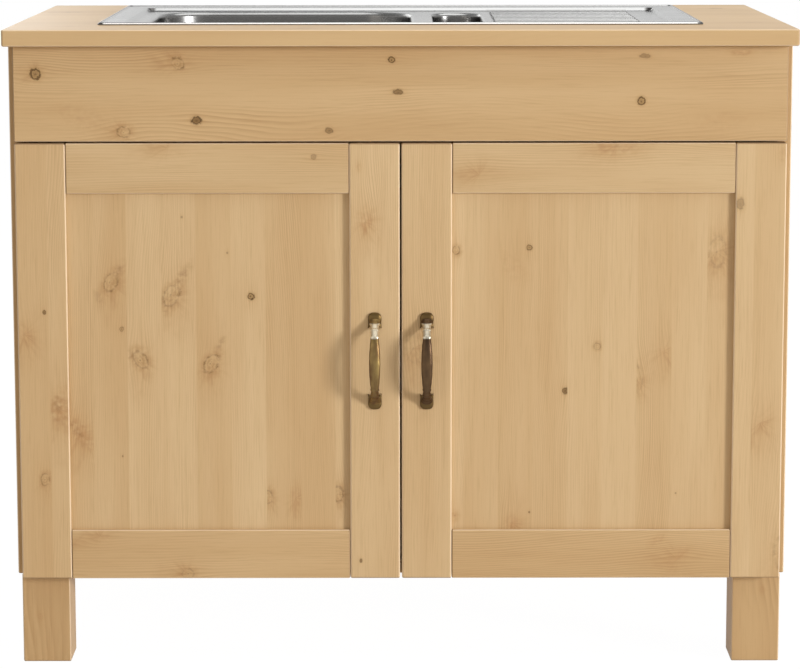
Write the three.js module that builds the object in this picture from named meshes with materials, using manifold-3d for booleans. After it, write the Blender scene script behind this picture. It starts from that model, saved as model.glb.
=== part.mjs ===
// Sink base cabinet in knotty pine: a carcase with two framed doors on four square legs, under a
// pine worktop with an inset stainless steel sink that has a main bowl, a narrow half bowl and a
// ribbed drainer. Millimetres, +Z up, the front faces -Y, the origin is on the floor in the middle.

import * as THREE from 'three';
import { mergeVertices } from 'three/addons/utils/BufferGeometryUtils.js';
import Module from 'manifold-3d';

const wasm = await Module();
wasm.setup();

// Driving dimensions of the cabinet.
const worktopWidth = 1000;
const worktopDepth = 600;
const worktopHeight = 825; // floor to the top of the worktop
const worktopThick = 21;
const worktopRear = 5; // worktop past the back of the carcase
const sideOverhang = 3; // worktop past the side panels
const doorSetBack = 20; // door face behind the worktop's front edge
const boardThick = 18;
const touchGap = 0.3; // left between pieces that touch
const boardEase = 1.2; // softened edges of the boards
const heavyEase = 2; // the same on the legs and the apron
const worktopCorner = 3;
const cutOutCorner = 20;

const legSize = 62;
const legHeight = 118;
const legInset = 4.7; // leg's outer face behind the side panel's outer face

const apronBottom = 683;
const frontRailBottom = 664;
const railHeight = 80;
const railThick = 18;
const backThick = 6;
const service = { width: 300, height: 280, bottom: 260, middle: -185 }; // opening for the pipes in the back

const shelfTop = 352;
const shelfSetBack = 30;
const shelfPinRadius = 2.5;
const shelfPinReach = 8; // length in the side panel, and under the shelf
const shelfSideGap = 1;
const shelfRearGap = 4;
const pinHolePlay = 0.4;
const pinHolePitch = 64;
const pinRowInset = 70; // rows of shelf holes from the front and the back

// Driving dimensions of the doors.
const doorBottom = 116.5;
const doorTop = 680.6;
const doorThick = 20;
const doorGap = 3; // back of the door to the front of the carcase
const doorReveal = 8.2; // side panel's edge seen beside the door
const meetingGap = 2.4; // between the two doors
const stileWidth = 64;
const railSetBack = 0.6; // rail faces lie behind the stile faces
const panelThick = 8;
const panelRecess = 7; // panel face behind the stile face
const grooveDepth = 8;
const panelInGroove = 7.5;
const frameEase = 1.6; // front edges of stiles and rails
const frameRearEase = 1;
const bumper = { radius: 4.5, fromMiddle: 14 };

// Concealed hinges: a cup in the door and an arm on the side panel, with one pin.
const hingeInset = 80; // hinge centre from the door's top and bottom edges
const cupRadius = 17.5;
const cupDepth = 12.5;
const cupWall = 1;
const cupEdge = 3; // cup's rim from the door's outer edge
const cupFlange = 1;
const pinFromEdge = 7;
const pinDepth = 8.5; // pin below the door's back face
const pinRadius = 0.9;
const eyeRadius = 2.1;
const eyeBore = 1.3;
const armWidth = 7;
const armThick = 2.4;
const armReach = 12; // pin to the middle of the arm's straight run
const armLength = 60;
const armPlateHeight = 50;
const armPlateThick = 2.5;
const armPlateFrom = 30; // back from the pin
const ears = { half: 31, from: -2, to: 12 }; // fixing flange of a cup, inwards from its middle

// Bow handles.
const handleReach = 31;
const handleCentreHeight = 401.5;
const screwSpacing = 96;
const footLength = 20.4;
const footWidth = 17.4;
const footThick = 4.2;
const footCentre = 52.6; // from the handle's middle
const barThick = 7.2;
const neckWidth = 9.6;
const gripWidth = 14.4;
// Upper half of a bar's middle line, as [height from its middle, distance out from the door's face].
const barLine = [[51, 3], [47.5, 7.8], [41, 15.2], [32.5, 22], [19, 26], [0, handleReach - barThick / 2]];
const screwRadius = 2;
const screwHole = 2.4;
const screwDepth = 8; // into the handle
const screwHead = { radius: 4, rim: 1.4, top: 2.2, crown: 2.6 };

// Inset sink. Its own lengths are taken from its middle, and its levels from the worktop's top.
const sinkWidth = 780;
const sinkDepth = 435;
const sinkFrontMargin = 103;
const sinkCorner = 8;
const sinkLip = 10; // sink's edge past the cut-out
const beadWidth = 5;
const beadTop = 3.4;
const deckTop = 2.2;
const steel = 1;
const recess = { width: 716, depth: 362, centre: [0, -12.5], corner: 14, slope: 4.5, floor: -2.5 };
const mainBowl = {
  width: 346, depth: 296, centre: [-159, -11.5], corner: 70, fall: 150, round: 35, draft: 8, steps: 6,
};
const halfBowl = {
  width: 66, depth: 240, centre: [77, -11.5], corner: 32, fall: 65, round: 5, draft: 3, steps: 5,
};
const bowlSteel = 1.2;
const ribs = { count: 8, pitch: 34, length: 196, start: 122, width: 9, height: 1.6, slope: 2 };
const clip = { width: 16, thick: 1.8, reach: 12, fromEdge: 4.5, webThick: 1.8, x: 250 };

// Outlet fittings.
const waste = {
  flange: 56, outer: 42, bore: 40, cup: 32, pipe: 20, pipeBore: 17, collar: 24, collarHeight: 14, end: 575,
};
const wasteNut = { width: 10, height: 8, play: 0.4 };
const smallWaste = { flange: 23, outer: 16, bore: 13, end: 700 };
const flangeThick = 1.8;
const overflow = {
  drop: 33, rose: 16, bore: 6, stem: 9, hole: 10, body: 14, reach: 20.5, spigot: 9, roseThick: 2.2,
};
const overflowPipe = { radius: 8, bore: 6, bend: 35, belowFloor: 22 };
const linkPipe = { height: 608, radius: 16, bore: 13, bend: 34 };
const pipeEndGap = 0.6;
const basket = { holes: 8, holeRing: 22, holeRadius: 3 };

// Places worked out from the dimensions above.
const worktopFrontY = -(worktopDepth + handleReach - doorSetBack) / 2 + handleReach - doorSetBack;
const worktopBackY = worktopFrontY + worktopDepth;
const worktopBottom = worktopHeight - worktopThick;
const doorFaceY = worktopFrontY + doorSetBack;
const doorBackY = doorFaceY + doorThick;
const carcaseFrontY = doorBackY + doorGap;
const carcaseBackY = worktopBackY - worktopRear;
const sideOuterX = worktopWidth / 2 - sideOverhang;
const sideInnerX = sideOuterX - boardThick;
const doorEdgeX = sideOuterX - doorReveal;
const carcaseTop = worktopBottom - touchGap;
const innerWidth = 2 * (sideInnerX - touchGap);
const floorTop = legHeight + boardThick;
const pinX = doorEdgeX - pinFromEdge;
const pinY = doorBackY - pinDepth;
const cupX = doorEdgeX - cupEdge - cupRadius;
const sinkY = worktopFrontY + sinkFrontMargin + sinkDepth / 2;

const finishes = {
  pine: () => new THREE.MeshStandardMaterial({ color: 0xc9a674, roughness: 0.55, metalness: 0 }),
  pinePale: () => new THREE.MeshStandardMaterial({ color: 0xe3c69c, roughness: 0.5, metalness: 0 }),
  backBoard: () => new THREE.MeshStandardMaterial({ color: 0xcbb085, roughness: 0.7, metalness: 0 }),
  steel: () => new THREE.MeshStandardMaterial({ color: 0xc9cbc8, roughness: 0.3, metalness: 1 }),
  zinc: () => new THREE.MeshStandardMaterial({ color: 0xb4b6b8, roughness: 0.35, metalness: 1 }),
  bronze: () => new THREE.MeshStandardMaterial({ color: 0x6b5333, roughness: 0.4, metalness: 1 }),
  plastic: () => new THREE.MeshStandardMaterial({ color: 0xdedfdc, roughness: 0.5, metalness: 0 }),
  rubber: () => new THREE.MeshStandardMaterial({ color: 0x8d8d88, roughness: 0.8, metalness: 0 }),
};

const cabinet = new THREE.Group();
const carcase = new THREE.Group();
const sink = new THREE.Group();
sink.position.set(0, sinkY, worktopHeight);
cabinet.add(carcase, sink);

// Adds one named piece with a finish of its own.
function addPiece(parent, name, geometry, finish, place = [0, 0, 0]) {
  const mesh = new THREE.Mesh(geometry, finish());
  mesh.name = name;
  mesh.position.set(...place);
  parent.add(mesh);
  return mesh;
}

// A closed body ready to be joined or cut: vertices shared, and triangles with no area left out.
function solidOf(geometry) {
  const bare = geometry.clone();
  bare.deleteAttribute('normal');
  bare.deleteAttribute('uv');
  const merged = mergeVertices(bare, 1e-4);
  const corners = Array.from(merged.index.array);
  const kept = [];
  for (let i = 0; i < corners.length; i += 3) {
    const [a, b, c] = corners.slice(i, i + 3);
    if (a !== b && b !== c && c !== a) kept.push(a, b, c);
  }
  const vertProperties = Float32Array.from(merged.attributes.position.array);
  return new wasm.Manifold(new wasm.Mesh({ numProp: 3, vertProperties, triVerts: Uint32Array.from(kept) }));
}

function geometryOf(solid) {
  const mesh = solid.getMesh();
  const geometry = new THREE.BufferGeometry();
  geometry.setAttribute('position', new THREE.BufferAttribute(mesh.vertProperties, 3));
  geometry.setIndex(new THREE.BufferAttribute(mesh.triVerts, 1));
  return geometry;
}

// Joins a list of geometries and then cuts others out of them.
function joinAndCut(joined, cuts = []) {
  let solid = solidOf(joined[0]);
  for (const part of joined.slice(1)) solid = solid.add(solidOf(part));
  for (const cut of cuts) solid = solid.subtract(solidOf(cut));
  return geometryOf(solid);
}

// A box with its edges cut at 45 degrees, centred on the origin.
function easedBox([sizeX, sizeY, sizeZ], ease = boardEase) {
  const x = sizeX / 2 - ease;
  const y = sizeY / 2 - ease;
  const cut = ease * (Math.SQRT2 - 1);
  const outline = new THREE.Shape([
    new THREE.Vector2(x - cut, -y), new THREE.Vector2(x, cut - y),
    new THREE.Vector2(x, y - cut), new THREE.Vector2(x - cut, y),
    new THREE.Vector2(cut - x, y), new THREE.Vector2(-x, y - cut),
    new THREE.Vector2(-x, cut - y), new THREE.Vector2(cut - x, -y),
  ]);
  const depth = sizeZ - 2 * ease;
  const bevel = { bevelEnabled: true, bevelThickness: ease, bevelSize: ease, bevelSegments: 1 };
  return new THREE.ExtrudeGeometry(outline, { depth, steps: 1, ...bevel }).translate(0, 0, -depth / 2);
}

// A board between two opposite corners.
function addBoard(parent, name, low, high, finish = finishes.pine, ease = boardEase) {
  const size = low.map((value, axis) => high[axis] - value);
  const centre = low.map((value, axis) => (high[axis] + value) / 2);
  return addPiece(parent, name, easedBox(size, ease), finish, centre);
}

function plainBox(low, high) {
  const size = low.map((value, axis) => high[axis] - value);
  const centre = low.map((value, axis) => (high[axis] + value) / 2);
  return new THREE.BoxGeometry(...size).translate(...centre);
}

// A cylinder along X, Y or Z from one end to the other.
function rod(axis, radius, from, to, centre, sides = 12) {
  const geometry = new THREE.CylinderGeometry(radius, radius, to - from, sides);
  if (axis === 'x') geometry.rotateZ(Math.PI / 2);
  if (axis === 'z') geometry.rotateX(Math.PI / 2);
  const middle = (from + to) / 2;
  if (axis === 'x') geometry.translate(middle, centre[0], centre[1]);
  if (axis === 'y') geometry.translate(centre[0], middle, centre[1]);
  if (axis === 'z') geometry.translate(centre[0], centre[1], middle);
  return geometry;
}

// A body turned about Y from points [radius, height], its faces set to point outwards.
function turned(profile, sides) {
  const points = profile.map(([radius, height]) => new THREE.Vector2(radius, height));
  const geometry = new THREE.LatheGeometry(points, sides);
  const solid = solidOf(geometry);
  if (solid.volume() > 0) return geometryOf(solid);
  return geometryOf(solidOf(new THREE.LatheGeometry(points.reverse(), sides)));
}

// The same about Z.
function turnedUpright(profile, sides) {
  return turned(profile, sides).rotateX(Math.PI / 2);
}

// Corners of a rounded rectangle, counterclockwise.
function roundedOutline(width, depth, radius, steps = 4) {
  const points = [];
  for (let corner = 0; corner < 4; corner++) {
    const signX = corner === 0 || corner === 3 ? 1 : -1;
    const signY = corner < 2 ? 1 : -1;
    for (let step = 0; step <= steps; step++) {
      const angle = (corner + step / steps) * Math.PI / 2;
      const x = signX * (width / 2 - radius) + radius * Math.cos(angle);
      const y = signY * (depth / 2 - radius) + radius * Math.sin(angle);
      points.push(new THREE.Vector2(x, y));
    }
  }
  return points;
}

// A flat piece of even thickness, with an optional hole, from one level to another.
function plate(outline, from, to, hole = null) {
  const shape = new THREE.Shape(outline);
  if (hole) shape.holes.push(new THREE.Path(hole));
  return new THREE.ExtrudeGeometry(shape, { depth: to - from, bevelEnabled: false }).translate(0, 0, from);
}

// A closed body through matching rings of points, from its lowest ring to its highest.
function loft(rings) {
  const count = rings[0].length;
  const positions = rings.flat().flatMap((point) => [point.x, point.y, point.z]);
  const last = (rings.length - 1) * count;
  const triangles = [];
  for (let ring = 0; ring < last; ring += count) {
    for (let i = 0; i < count; i++) {
      const a = ring + i;
      const b = ring + (i + 1) % count;
      triangles.push(a, b, b + count, a, b + count, a + count);
    }
  }
  for (let i = 1; i + 1 < count; i++) {
    triangles.push(0, i + 1, i);
    triangles.push(last, last + i, last + i + 1);
  }
  const geometry = new THREE.BufferGeometry();
  geometry.setAttribute('position', new THREE.Float32BufferAttribute(positions, 3));
  geometry.setIndex(triangles);
  return geometry;
}

function ringAt(outline, [x, y], level) {
  return outline.map((point) => new THREE.Vector3(point.x + x, point.y + y, level));
}

// ---- Carcase ----

function addSidePanel(name, side) {
  const inner = side * sideInnerX;
  const outer = side * sideOuterX;
  const low = [Math.min(inner, outer), carcaseFrontY, legHeight];
  const high = [Math.max(inner, outer), carcaseBackY, carcaseTop];
  const size = low.map((value, axis) => high[axis] - value);
  const centre = low.map((value, axis) => (high[axis] + value) / 2);
  const holes = [];
  for (const y of [carcaseFrontY + pinRowInset, carcaseBackY - pinRowInset]) {
    for (const level of [-1, 0, 1]) {
      const ends = [side * (sideInnerX - 1), side * (sideInnerX + shelfPinReach + 1)].sort((a, b) => a - b);
      const z = shelfTop - boardThick - shelfPinRadius - touchGap + level * pinHolePitch;
      holes.push(rod('x', shelfPinRadius + pinHolePlay, ends[0], ends[1], [y, z], 8));
    }
  }
  const panel = easedBox(size).translate(...centre);
  addPiece(carcase, name, joinAndCut([panel], holes), finishes.pine);
}

addSidePanel('side_panel_left', -1);
addSidePanel('side_panel_right', 1);

addBoard(carcase, 'bottom_panel',
  [-innerWidth / 2, carcaseFrontY, legHeight],
  [innerWidth / 2, carcaseBackY - backThick - touchGap, floorTop]);

addBoard(carcase, 'front_rail',
  [-innerWidth / 2, carcaseFrontY, frontRailBottom],
  [innerWidth / 2, carcaseFrontY + railThick, carcaseTop]);

addBoard(carcase, 'rear_rail',
  [-innerWidth / 2, carcaseBackY - railThick, carcaseTop - railHeight],
  [innerWidth / 2, carcaseBackY, carcaseTop]);

addBoard(carcase, 'apron_panel',
  [-doorEdgeX, doorFaceY, apronBottom],
  [doorEdgeX, carcaseFrontY - touchGap, carcaseTop], finishes.pine, heavyEase);

function addBackPanel() {
  const top = carcaseTop - railHeight - touchGap;
  const low = [-innerWidth / 2, carcaseBackY - backThick, legHeight];
  const panel = plainBox(low, [innerWidth / 2, carcaseBackY, top]);
  const opening = plainBox(
    [service.middle - service.width / 2, carcaseBackY - backThick - 1, service.bottom],
    [service.middle + service.width / 2, carcaseBackY + 1, service.bottom + service.height]);
  addPiece(carcase, 'back_panel', joinAndCut([panel], [opening]), finishes.backBoard);
}

addBackPanel();

function addLeg(name, side, y) {
  const centreX = side * (sideOuterX - legInset - legSize / 2);
  const height = legHeight - touchGap;
  const leg = easedBox([legSize, legSize, height], heavyEase);
  addPiece(carcase, name, leg, finishes.pine, [centreX, y, height / 2]);
}

for (const [word, side] of [['left', -1], ['right', 1]]) {
  addLeg(`leg_front_${word}`, side, carcaseFrontY + legSize / 2);
  addLeg(`leg_rear_${word}`, side, carcaseBackY - legSize / 2);
}

addBoard(carcase, 'shelf',
  [-innerWidth / 2 + shelfSideGap, carcaseFrontY + shelfSetBack, shelfTop - boardThick],
  [innerWidth / 2 - shelfSideGap, carcaseBackY - backThick - shelfRearGap, shelfTop]);

for (const [word, side] of [['left', -1], ['right', 1]]) {
  for (const [end, y] of [['front', carcaseFrontY + pinRowInset], ['rear', carcaseBackY - pinRowInset]]) {
    const z = shelfTop - boardThick - shelfPinRadius - touchGap;
    const ends = [side * (sideInnerX + shelfPinReach), side * (sideInnerX - shelfPinReach)];
    ends.sort((a, b) => a - b);
    const pin = rod('x', shelfPinRadius, ...ends, [y, z], 10);
    addPiece(carcase, `shelf_pin_${end}_${word}`, pin, finishes.zinc);
  }
}

function addWorktop() {
  const bevel = { bevelEnabled: true, bevelThickness: boardEase, bevelSize: boardEase, bevelSegments: 1 };
  const flatWidth = worktopWidth - 2 * boardEase;
  const flatDepth = worktopDepth - 2 * boardEase;
  const depth = worktopThick - 2 * boardEase;
  const outline = new THREE.Shape(roundedOutline(flatWidth, flatDepth, worktopCorner, 2));
  const slab = new THREE.ExtrudeGeometry(outline, { depth, ...bevel });
  slab.translate(0, (worktopFrontY + worktopBackY) / 2, worktopBottom + boardEase);
  const cut = roundedOutline(sinkWidth - 2 * sinkLip, sinkDepth - 2 * sinkLip, cutOutCorner, 3);
  const hole = plate(cut, worktopBottom - 1, worktopHeight + 1).translate(0, sinkY, 0);
  addPiece(carcase, 'worktop', joinAndCut([slab], [hole]), finishes.pinePale);
}

addWorktop();

// ---- Doors ----

// Section of a stile or rail: across from the outer edge (0) to the edge with the panel's groove,
// and back from the face (0).
function frameSection(setBack) {
  const front = panelRecess - touchGap;
  const rear = panelRecess + panelThick + touchGap;
  return [
    [frameEase, setBack], [stileWidth - frameEase, setBack], [stileWidth, setBack + frameEase],
    [stileWidth, front], [stileWidth - grooveDepth, front],
    [stileWidth - grooveDepth, rear], [stileWidth, rear],
    [stileWidth, doorThick - frameRearEase], [stileWidth - frameRearEase, doorThick],
    [frameRearEase, doorThick], [0, doorThick - frameRearEase], [0, setBack + frameEase],
  ];
}

// Lengths of the frame: a stile's section lies in plan and is extruded upwards, and a rail's is seen
// from the side and extruded across.
function stile(outerX, inward, bottom, top) {
  const place = ([across, back]) => new THREE.Vector2(outerX + inward * across, doorFaceY + back);
  return plate(frameSection(0).map(place), bottom, top);
}

function rail(outerZ, inward, left, right) {
  const place = ([across, back]) => new THREE.Vector2(-(outerZ + inward * across), doorFaceY + back);
  return plate(frameSection(railSetBack).map(place), left, right).rotateY(Math.PI / 2);
}

// Cup of a hinge, sunk in the back of the door, with its fixing flange and the pin across it.
function hingeCup(x, z) {
  const inner = cupRadius - cupWall;
  const back = doorBackY + touchGap;
  const cup = turned([
    [0, doorBackY - cupDepth], [cupRadius, doorBackY - cupDepth], [cupRadius, back],
    [cupRadius + cupFlange, back], [cupRadius + cupFlange, back + cupFlange],
    [inner, back + cupFlange], [inner, doorBackY - cupDepth + cupWall], [0, doorBackY - cupDepth + cupWall],
  ], 16).translate(x, 0, z);
  const inward = -Math.sign(x);
  const earEnds = [x + ears.from * inward, x + ears.to * inward].sort((a, b) => a - b);
  const flange = plainBox(
    [earEnds[0], back, z - ears.half],
    [earEnds[1], back + cupFlange, z + ears.half]);
  const mouth = rod('y', inner, doorBackY - 2, back + cupFlange + 1, [x, z], 16);
  const pinPlace = Math.sign(x) * pinX;
  const reach = Math.sqrt(inner ** 2 - (pinPlace - x) ** 2) + 0.4;
  const pin = rod('z', pinRadius, z - reach, z + reach, [pinPlace, pinY], 8);
  const flanged = joinAndCut([cup, flange], [mouth]);
  return joinAndCut([flanged, pin]);
}

// Arm of a hinge: an eye on the pin, a short leg inwards, a straight run back and the plate on the
// side panel that it is fixed to.
function hingeArm(side, z) {
  const inward = -side;
  const x = side * pinX;
  const span = (from, to) => [x + inward * from, x + inward * to].sort((a, b) => a - b);
  const block = (u, v, halfHeight) => {
    const [left, right] = span(...u);
    return plainBox([left, pinY + v[0], z - halfHeight], [right, pinY + v[1], z + halfHeight]);
  };
  const half = armThick / 2;
  const plateFrom = pinX - sideInnerX + touchGap;
  const plateTo = plateFrom + armPlateThick;
  const bridge = [armPlateFrom + 4, armLength - 4];
  return joinAndCut([
    rod('z', eyeRadius, z - armWidth / 2, z + armWidth / 2, [x, pinY], 16),
    block([0, armReach + half], [-half, half], armWidth / 2),
    block([armReach - half, armReach + half], [-half, armLength], armWidth / 2),
    block([plateTo - 0.5, armReach], bridge, armWidth * 0.7),
    block([plateFrom, plateTo], [armPlateFrom, armLength], armPlateHeight / 2),
  ], [rod('z', eyeBore, z - armWidth, z + armWidth, [x, pinY], 12)]);
}

function handleLine() {
  const lowerHalf = barLine.slice(0, -1).map(([height, out]) => [-height, out]).reverse();
  const points = [...barLine, ...lowerHalf];
  return new THREE.CatmullRomCurve3(points.map(([height, out]) => new THREE.Vector3(0, -out, height)));
}

function handleBody() {
  const line = handleLine();
  const stations = 16;
  const sides = 12;
  const rings = [];
  for (let station = 0; station <= stations; station++) {
    const middle = line.getPointAt(station / stations);
    const along = line.getTangentAt(station / stations);
    const outwards = new THREE.Vector3(0, along.z, -along.y);
    const reach = Math.min(1, Math.abs(middle.z) / (screwSpacing * 0.42));
    const width = neckWidth + (gripWidth - neckWidth) * Math.cos(reach * Math.PI / 2) ** 2;
    const ring = [];
    for (let i = 0; i < sides; i++) {
      const angle = i / sides * 2 * Math.PI;
      const point = middle.clone().addScaledVector(outwards, barThick / 2 * Math.sin(angle));
      point.x += width / 2 * Math.cos(angle);
      ring.push(point);
    }
    rings.push(ring);
  }
  const feet = [1, -1].map((end) => {
    const foot = roundedOutline(footWidth, footLength, footWidth / 2 - 1, 3);
    const shape = plate(foot, touchGap, footThick);
    return shape.rotateX(Math.PI / 2).translate(0, 0, end * footCentre);
  });
  const boreEnd = -(screwDepth + 2 * touchGap);
  const bores = [1, -1].map((end) => rod('y', screwHole, boreEnd, 1, [0, end * screwSpacing / 2], 8));
  return joinAndCut([loft(rings), ...feet], bores);
}

function handleScrew() {
  const tip = doorFaceY - screwDepth;
  const head = doorBackY + touchGap;
  return turned([
    [0, tip], [screwRadius, tip], [screwRadius, head],
    [screwHead.radius, head], [screwHead.radius, head + screwHead.rim],
    [screwHead.crown, head + screwHead.top], [0, head + screwHead.top],
  ], 10);
}

function addDoor(word, side) {
  const door = new THREE.Group();
  cabinet.add(door);
  const outerX = side * doorEdgeX;
  const innerX = side * meetingGap / 2;
  const handleX = innerX + side * stileWidth / 2;
  const hingeHeights = [['lower', doorBottom + hingeInset], ['upper', doorTop - hingeInset]];
  const screwHeights = [
    ['lower', handleCentreHeight - screwSpacing / 2],
    ['upper', handleCentreHeight + screwSpacing / 2],
  ];

  const cupBores = hingeHeights.map(([, z]) =>
    rod('y', cupRadius + 0.4, doorBackY - cupDepth - touchGap, doorBackY + 1, [side * cupX, z], 20));
  const outerStile = joinAndCut([stile(outerX, -side, doorBottom, doorTop)], cupBores);
  addPiece(door, `${word}_door_outer_stile`, outerStile, finishes.pine);

  const screwBores = screwHeights.map(([, z]) =>
    rod('y', screwHole, doorFaceY - 1, doorBackY + 1, [handleX, z], 8));
  const innerStile = joinAndCut([stile(innerX, side, doorBottom, doorTop)], screwBores);
  addPiece(door, `${word}_door_inner_stile`, innerStile, finishes.pine);

  const railEnds = [outerX - side * (stileWidth + touchGap), innerX + side * (stileWidth + touchGap)];
  railEnds.sort((a, b) => a - b);
  addPiece(door, `${word}_door_top_rail`, rail(doorTop, -1, ...railEnds), finishes.pine);
  addPiece(door, `${word}_door_bottom_rail`, rail(doorBottom, 1, ...railEnds), finishes.pine);

  const inStile = touchGap + panelInGroove;
  const panel = plainBox(
    [railEnds[0] - inStile, doorFaceY + panelRecess, doorBottom + stileWidth - panelInGroove],
    [railEnds[1] + inStile, doorFaceY + panelRecess + panelThick, doorTop - stileWidth + panelInGroove]);
  addPiece(door, `${word}_door_panel`, panel, finishes.pine);

  for (const [end, z] of hingeHeights) {
    addPiece(door, `${word}_hinge_cup_${end}`, hingeCup(side * cupX, z), finishes.zinc);
    addPiece(carcase, `${word}_hinge_arm_${end}`, hingeArm(side, z), finishes.zinc);
  }

  addPiece(door, `${word}_handle`, handleBody(), finishes.bronze, [handleX, doorFaceY, handleCentreHeight]);
  for (const [end, z] of screwHeights) {
    addPiece(door, `${word}_handle_screw_${end}`, handleScrew(), finishes.zinc, [handleX, 0, z]);
  }

  const bumperPlace = [side * bumper.fromMiddle, (doorTop + frontRailBottom) / 2];
  const pad = rod('y', bumper.radius, doorBackY + 0.1, doorBackY + doorGap - touchGap, bumperPlace, 12);
  addPiece(door, `${word}_door_bumper`, pad, finishes.rubber);
}

addDoor('left', -1);
addDoor('right', 1);

// ---- Sink ----

// A bowl's rounded rectangle about its own middle, drawn in by an inset.
function bowlOutline(bowl, inset) {
  const radius = Math.max(2, bowl.corner - inset);
  return roundedOutline(bowl.width - 2 * inset, bowl.depth - 2 * inset, radius, bowl.steps);
}

// The hollow of a bowl, grown by the steel's thickness for its outside.
function bowlBody(bowl, grow, top) {
  const rim = recess.floor;
  const floor = rim - bowl.fall - grow;
  const rings = [];
  const arcSteps = 3;
  for (let step = 0; step <= arcSteps; step++) {
    const angle = step / arcSteps * Math.PI / 2;
    const level = floor + bowl.round * (1 - Math.cos(angle));
    const inset = bowl.round * (1 - Math.sin(angle)) + bowl.draft * (rim - level) / bowl.fall - grow;
    rings.push(ringAt(bowlOutline(bowl, inset), bowl.centre, level));
  }
  rings.push(ringAt(bowlOutline(bowl, -grow), bowl.centre, top));
  return loft(rings);
}

function addSinkDeck() {
  const outline = roundedOutline(sinkWidth, sinkDepth, sinkCorner, 3);
  const beadInner = roundedOutline(sinkWidth - 2 * beadWidth, sinkDepth - 2 * beadWidth, sinkCorner - 3, 3);
  const beadRound = 1.4;
  const beadOutline = roundedOutline(sinkWidth - 2 * beadRound, sinkDepth - 2 * beadRound, sinkCorner - 1, 3);
  const deck = plate(outline, deckTop - steel, deckTop);
  const beadFoot = plate(outline, touchGap, deckTop, beadInner);
  const beadCrown = plate(beadOutline, deckTop - 0.1, beadTop, beadInner);

  const recessRing = (grow, inwards, level) => ringAt(roundedOutline(
    recess.width - 2 * inwards + 2 * grow, recess.depth - 2 * inwards + 2 * grow,
    recess.corner + grow, 4), recess.centre, level);
  const tray = loft([recessRing(steel, recess.slope, recess.floor - steel), recessRing(steel, 0, deckTop)]);
  const hollow = loft([
    recessRing(0, recess.slope, recess.floor),
    recessRing(0, 0, deckTop),
    recessRing(0, 0, beadTop + 1),
  ]);
  const openings = [mainBowl, halfBowl].map((bowl) =>
    plate(bowlOutline(bowl, 0), recess.floor - 3, beadTop).translate(...bowl.centre, 0));

  const ridges = [];
  for (let i = 0; i < ribs.count; i++) {
    const y = recess.centre[1] + (i - (ribs.count - 1) / 2) * ribs.pitch;
    const top = recess.floor + ribs.height;
    const foot = roundedOutline(ribs.length, ribs.width, ribs.width / 2 - 0.1, 2);
    const crown = roundedOutline(
      ribs.length - 2 * ribs.slope, ribs.width - 2 * ribs.slope, ribs.width / 2 - ribs.slope - 0.1, 2);
    const centre = [ribs.start + ribs.length / 2, y];
    ridges.push(loft([ringAt(foot, centre, recess.floor - 0.4), ringAt(crown, centre, top)]));
  }
  const pressed = joinAndCut([deck, beadFoot, beadCrown, tray], [hollow, ...openings]);
  addPiece(sink, 'sink_deck', joinAndCut([pressed, ...ridges]), finishes.steel);
}

function addBowl(name, bowl, cuts) {
  const top = recess.floor - steel - touchGap;
  const outside = bowlBody(bowl, bowlSteel, top);
  const inside = bowlBody(bowl, 0, top + 1);
  addPiece(sink, name, joinAndCut([outside], [inside, ...cuts]), finishes.steel);
}

const mainFloor = recess.floor - mainBowl.fall;
const halfFloor = recess.floor - halfBowl.fall;
const overflowLevel = recess.floor - overflow.drop;
const mainRearY = mainBowl.centre[1] + mainBowl.depth / 2;

addSinkDeck();
addBowl('main_bowl', mainBowl, [
  rod('z', waste.outer + 1.5, mainFloor - 5, mainFloor + 5, mainBowl.centre, 24),
  rod('y', overflow.hole, mainRearY - 12, mainRearY + 12, [mainBowl.centre[0], overflowLevel], 16),
]);
addBowl('half_bowl', halfBowl, [
  rod('z', smallWaste.outer + 1, halfFloor - 5, halfFloor + 5, halfBowl.centre, 16),
]);

// The seal lies under the sink's edge, between the bead and the cut-out.
function addSeal() {
  const outerInset = beadWidth + touchGap;
  const innerInset = sinkLip - 0.5;
  const outer = roundedOutline(sinkWidth - 2 * outerInset, sinkDepth - 2 * outerInset, sinkCorner - 2, 3);
  const inner = roundedOutline(sinkWidth - 2 * innerInset, sinkDepth - 2 * innerInset, cutOutCorner, 3);
  addPiece(sink, 'sink_seal', plate(outer, touchGap, deckTop - steel - touchGap, inner), finishes.rubber);
}

addSeal();

// Clips that hook under the worktop, two at the front and two at the rear of the cut-out.
function addClip(name, x, side) {
  const edge = sinkDepth / 2 - sinkLip;
  const toe = -worktopThick - 0.4;
  const head = deckTop - steel - 0.5;
  const inner = edge - clip.fromEdge;
  const points = [
    [inner, head], [inner, toe - clip.thick], [edge + clip.reach, toe - clip.thick],
    [edge + clip.reach, toe], [inner + clip.webThick, toe], [inner + clip.webThick, head],
  ].map(([out, level]) => new THREE.Vector2(-level, side * out));
  const strip = plate(points, -clip.width / 2, clip.width / 2).rotateY(Math.PI / 2);
  addPiece(sink, name, strip, finishes.zinc, [x, 0, 0]);
}

for (const [word, x] of [['left', -clip.x], ['right', clip.x]]) {
  addClip(`sink_clip_front_${word}`, x, -1);
  addClip(`sink_clip_rear_${word}`, x, 1);
}

// ---- Outlets and overflow ----

const wasteEnd = waste.end - worktopHeight;
const smallWasteEnd = smallWaste.end - worktopHeight;
const linkLevel = linkPipe.height - worktopHeight;
const cupFloor = mainFloor - waste.cup;

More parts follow.
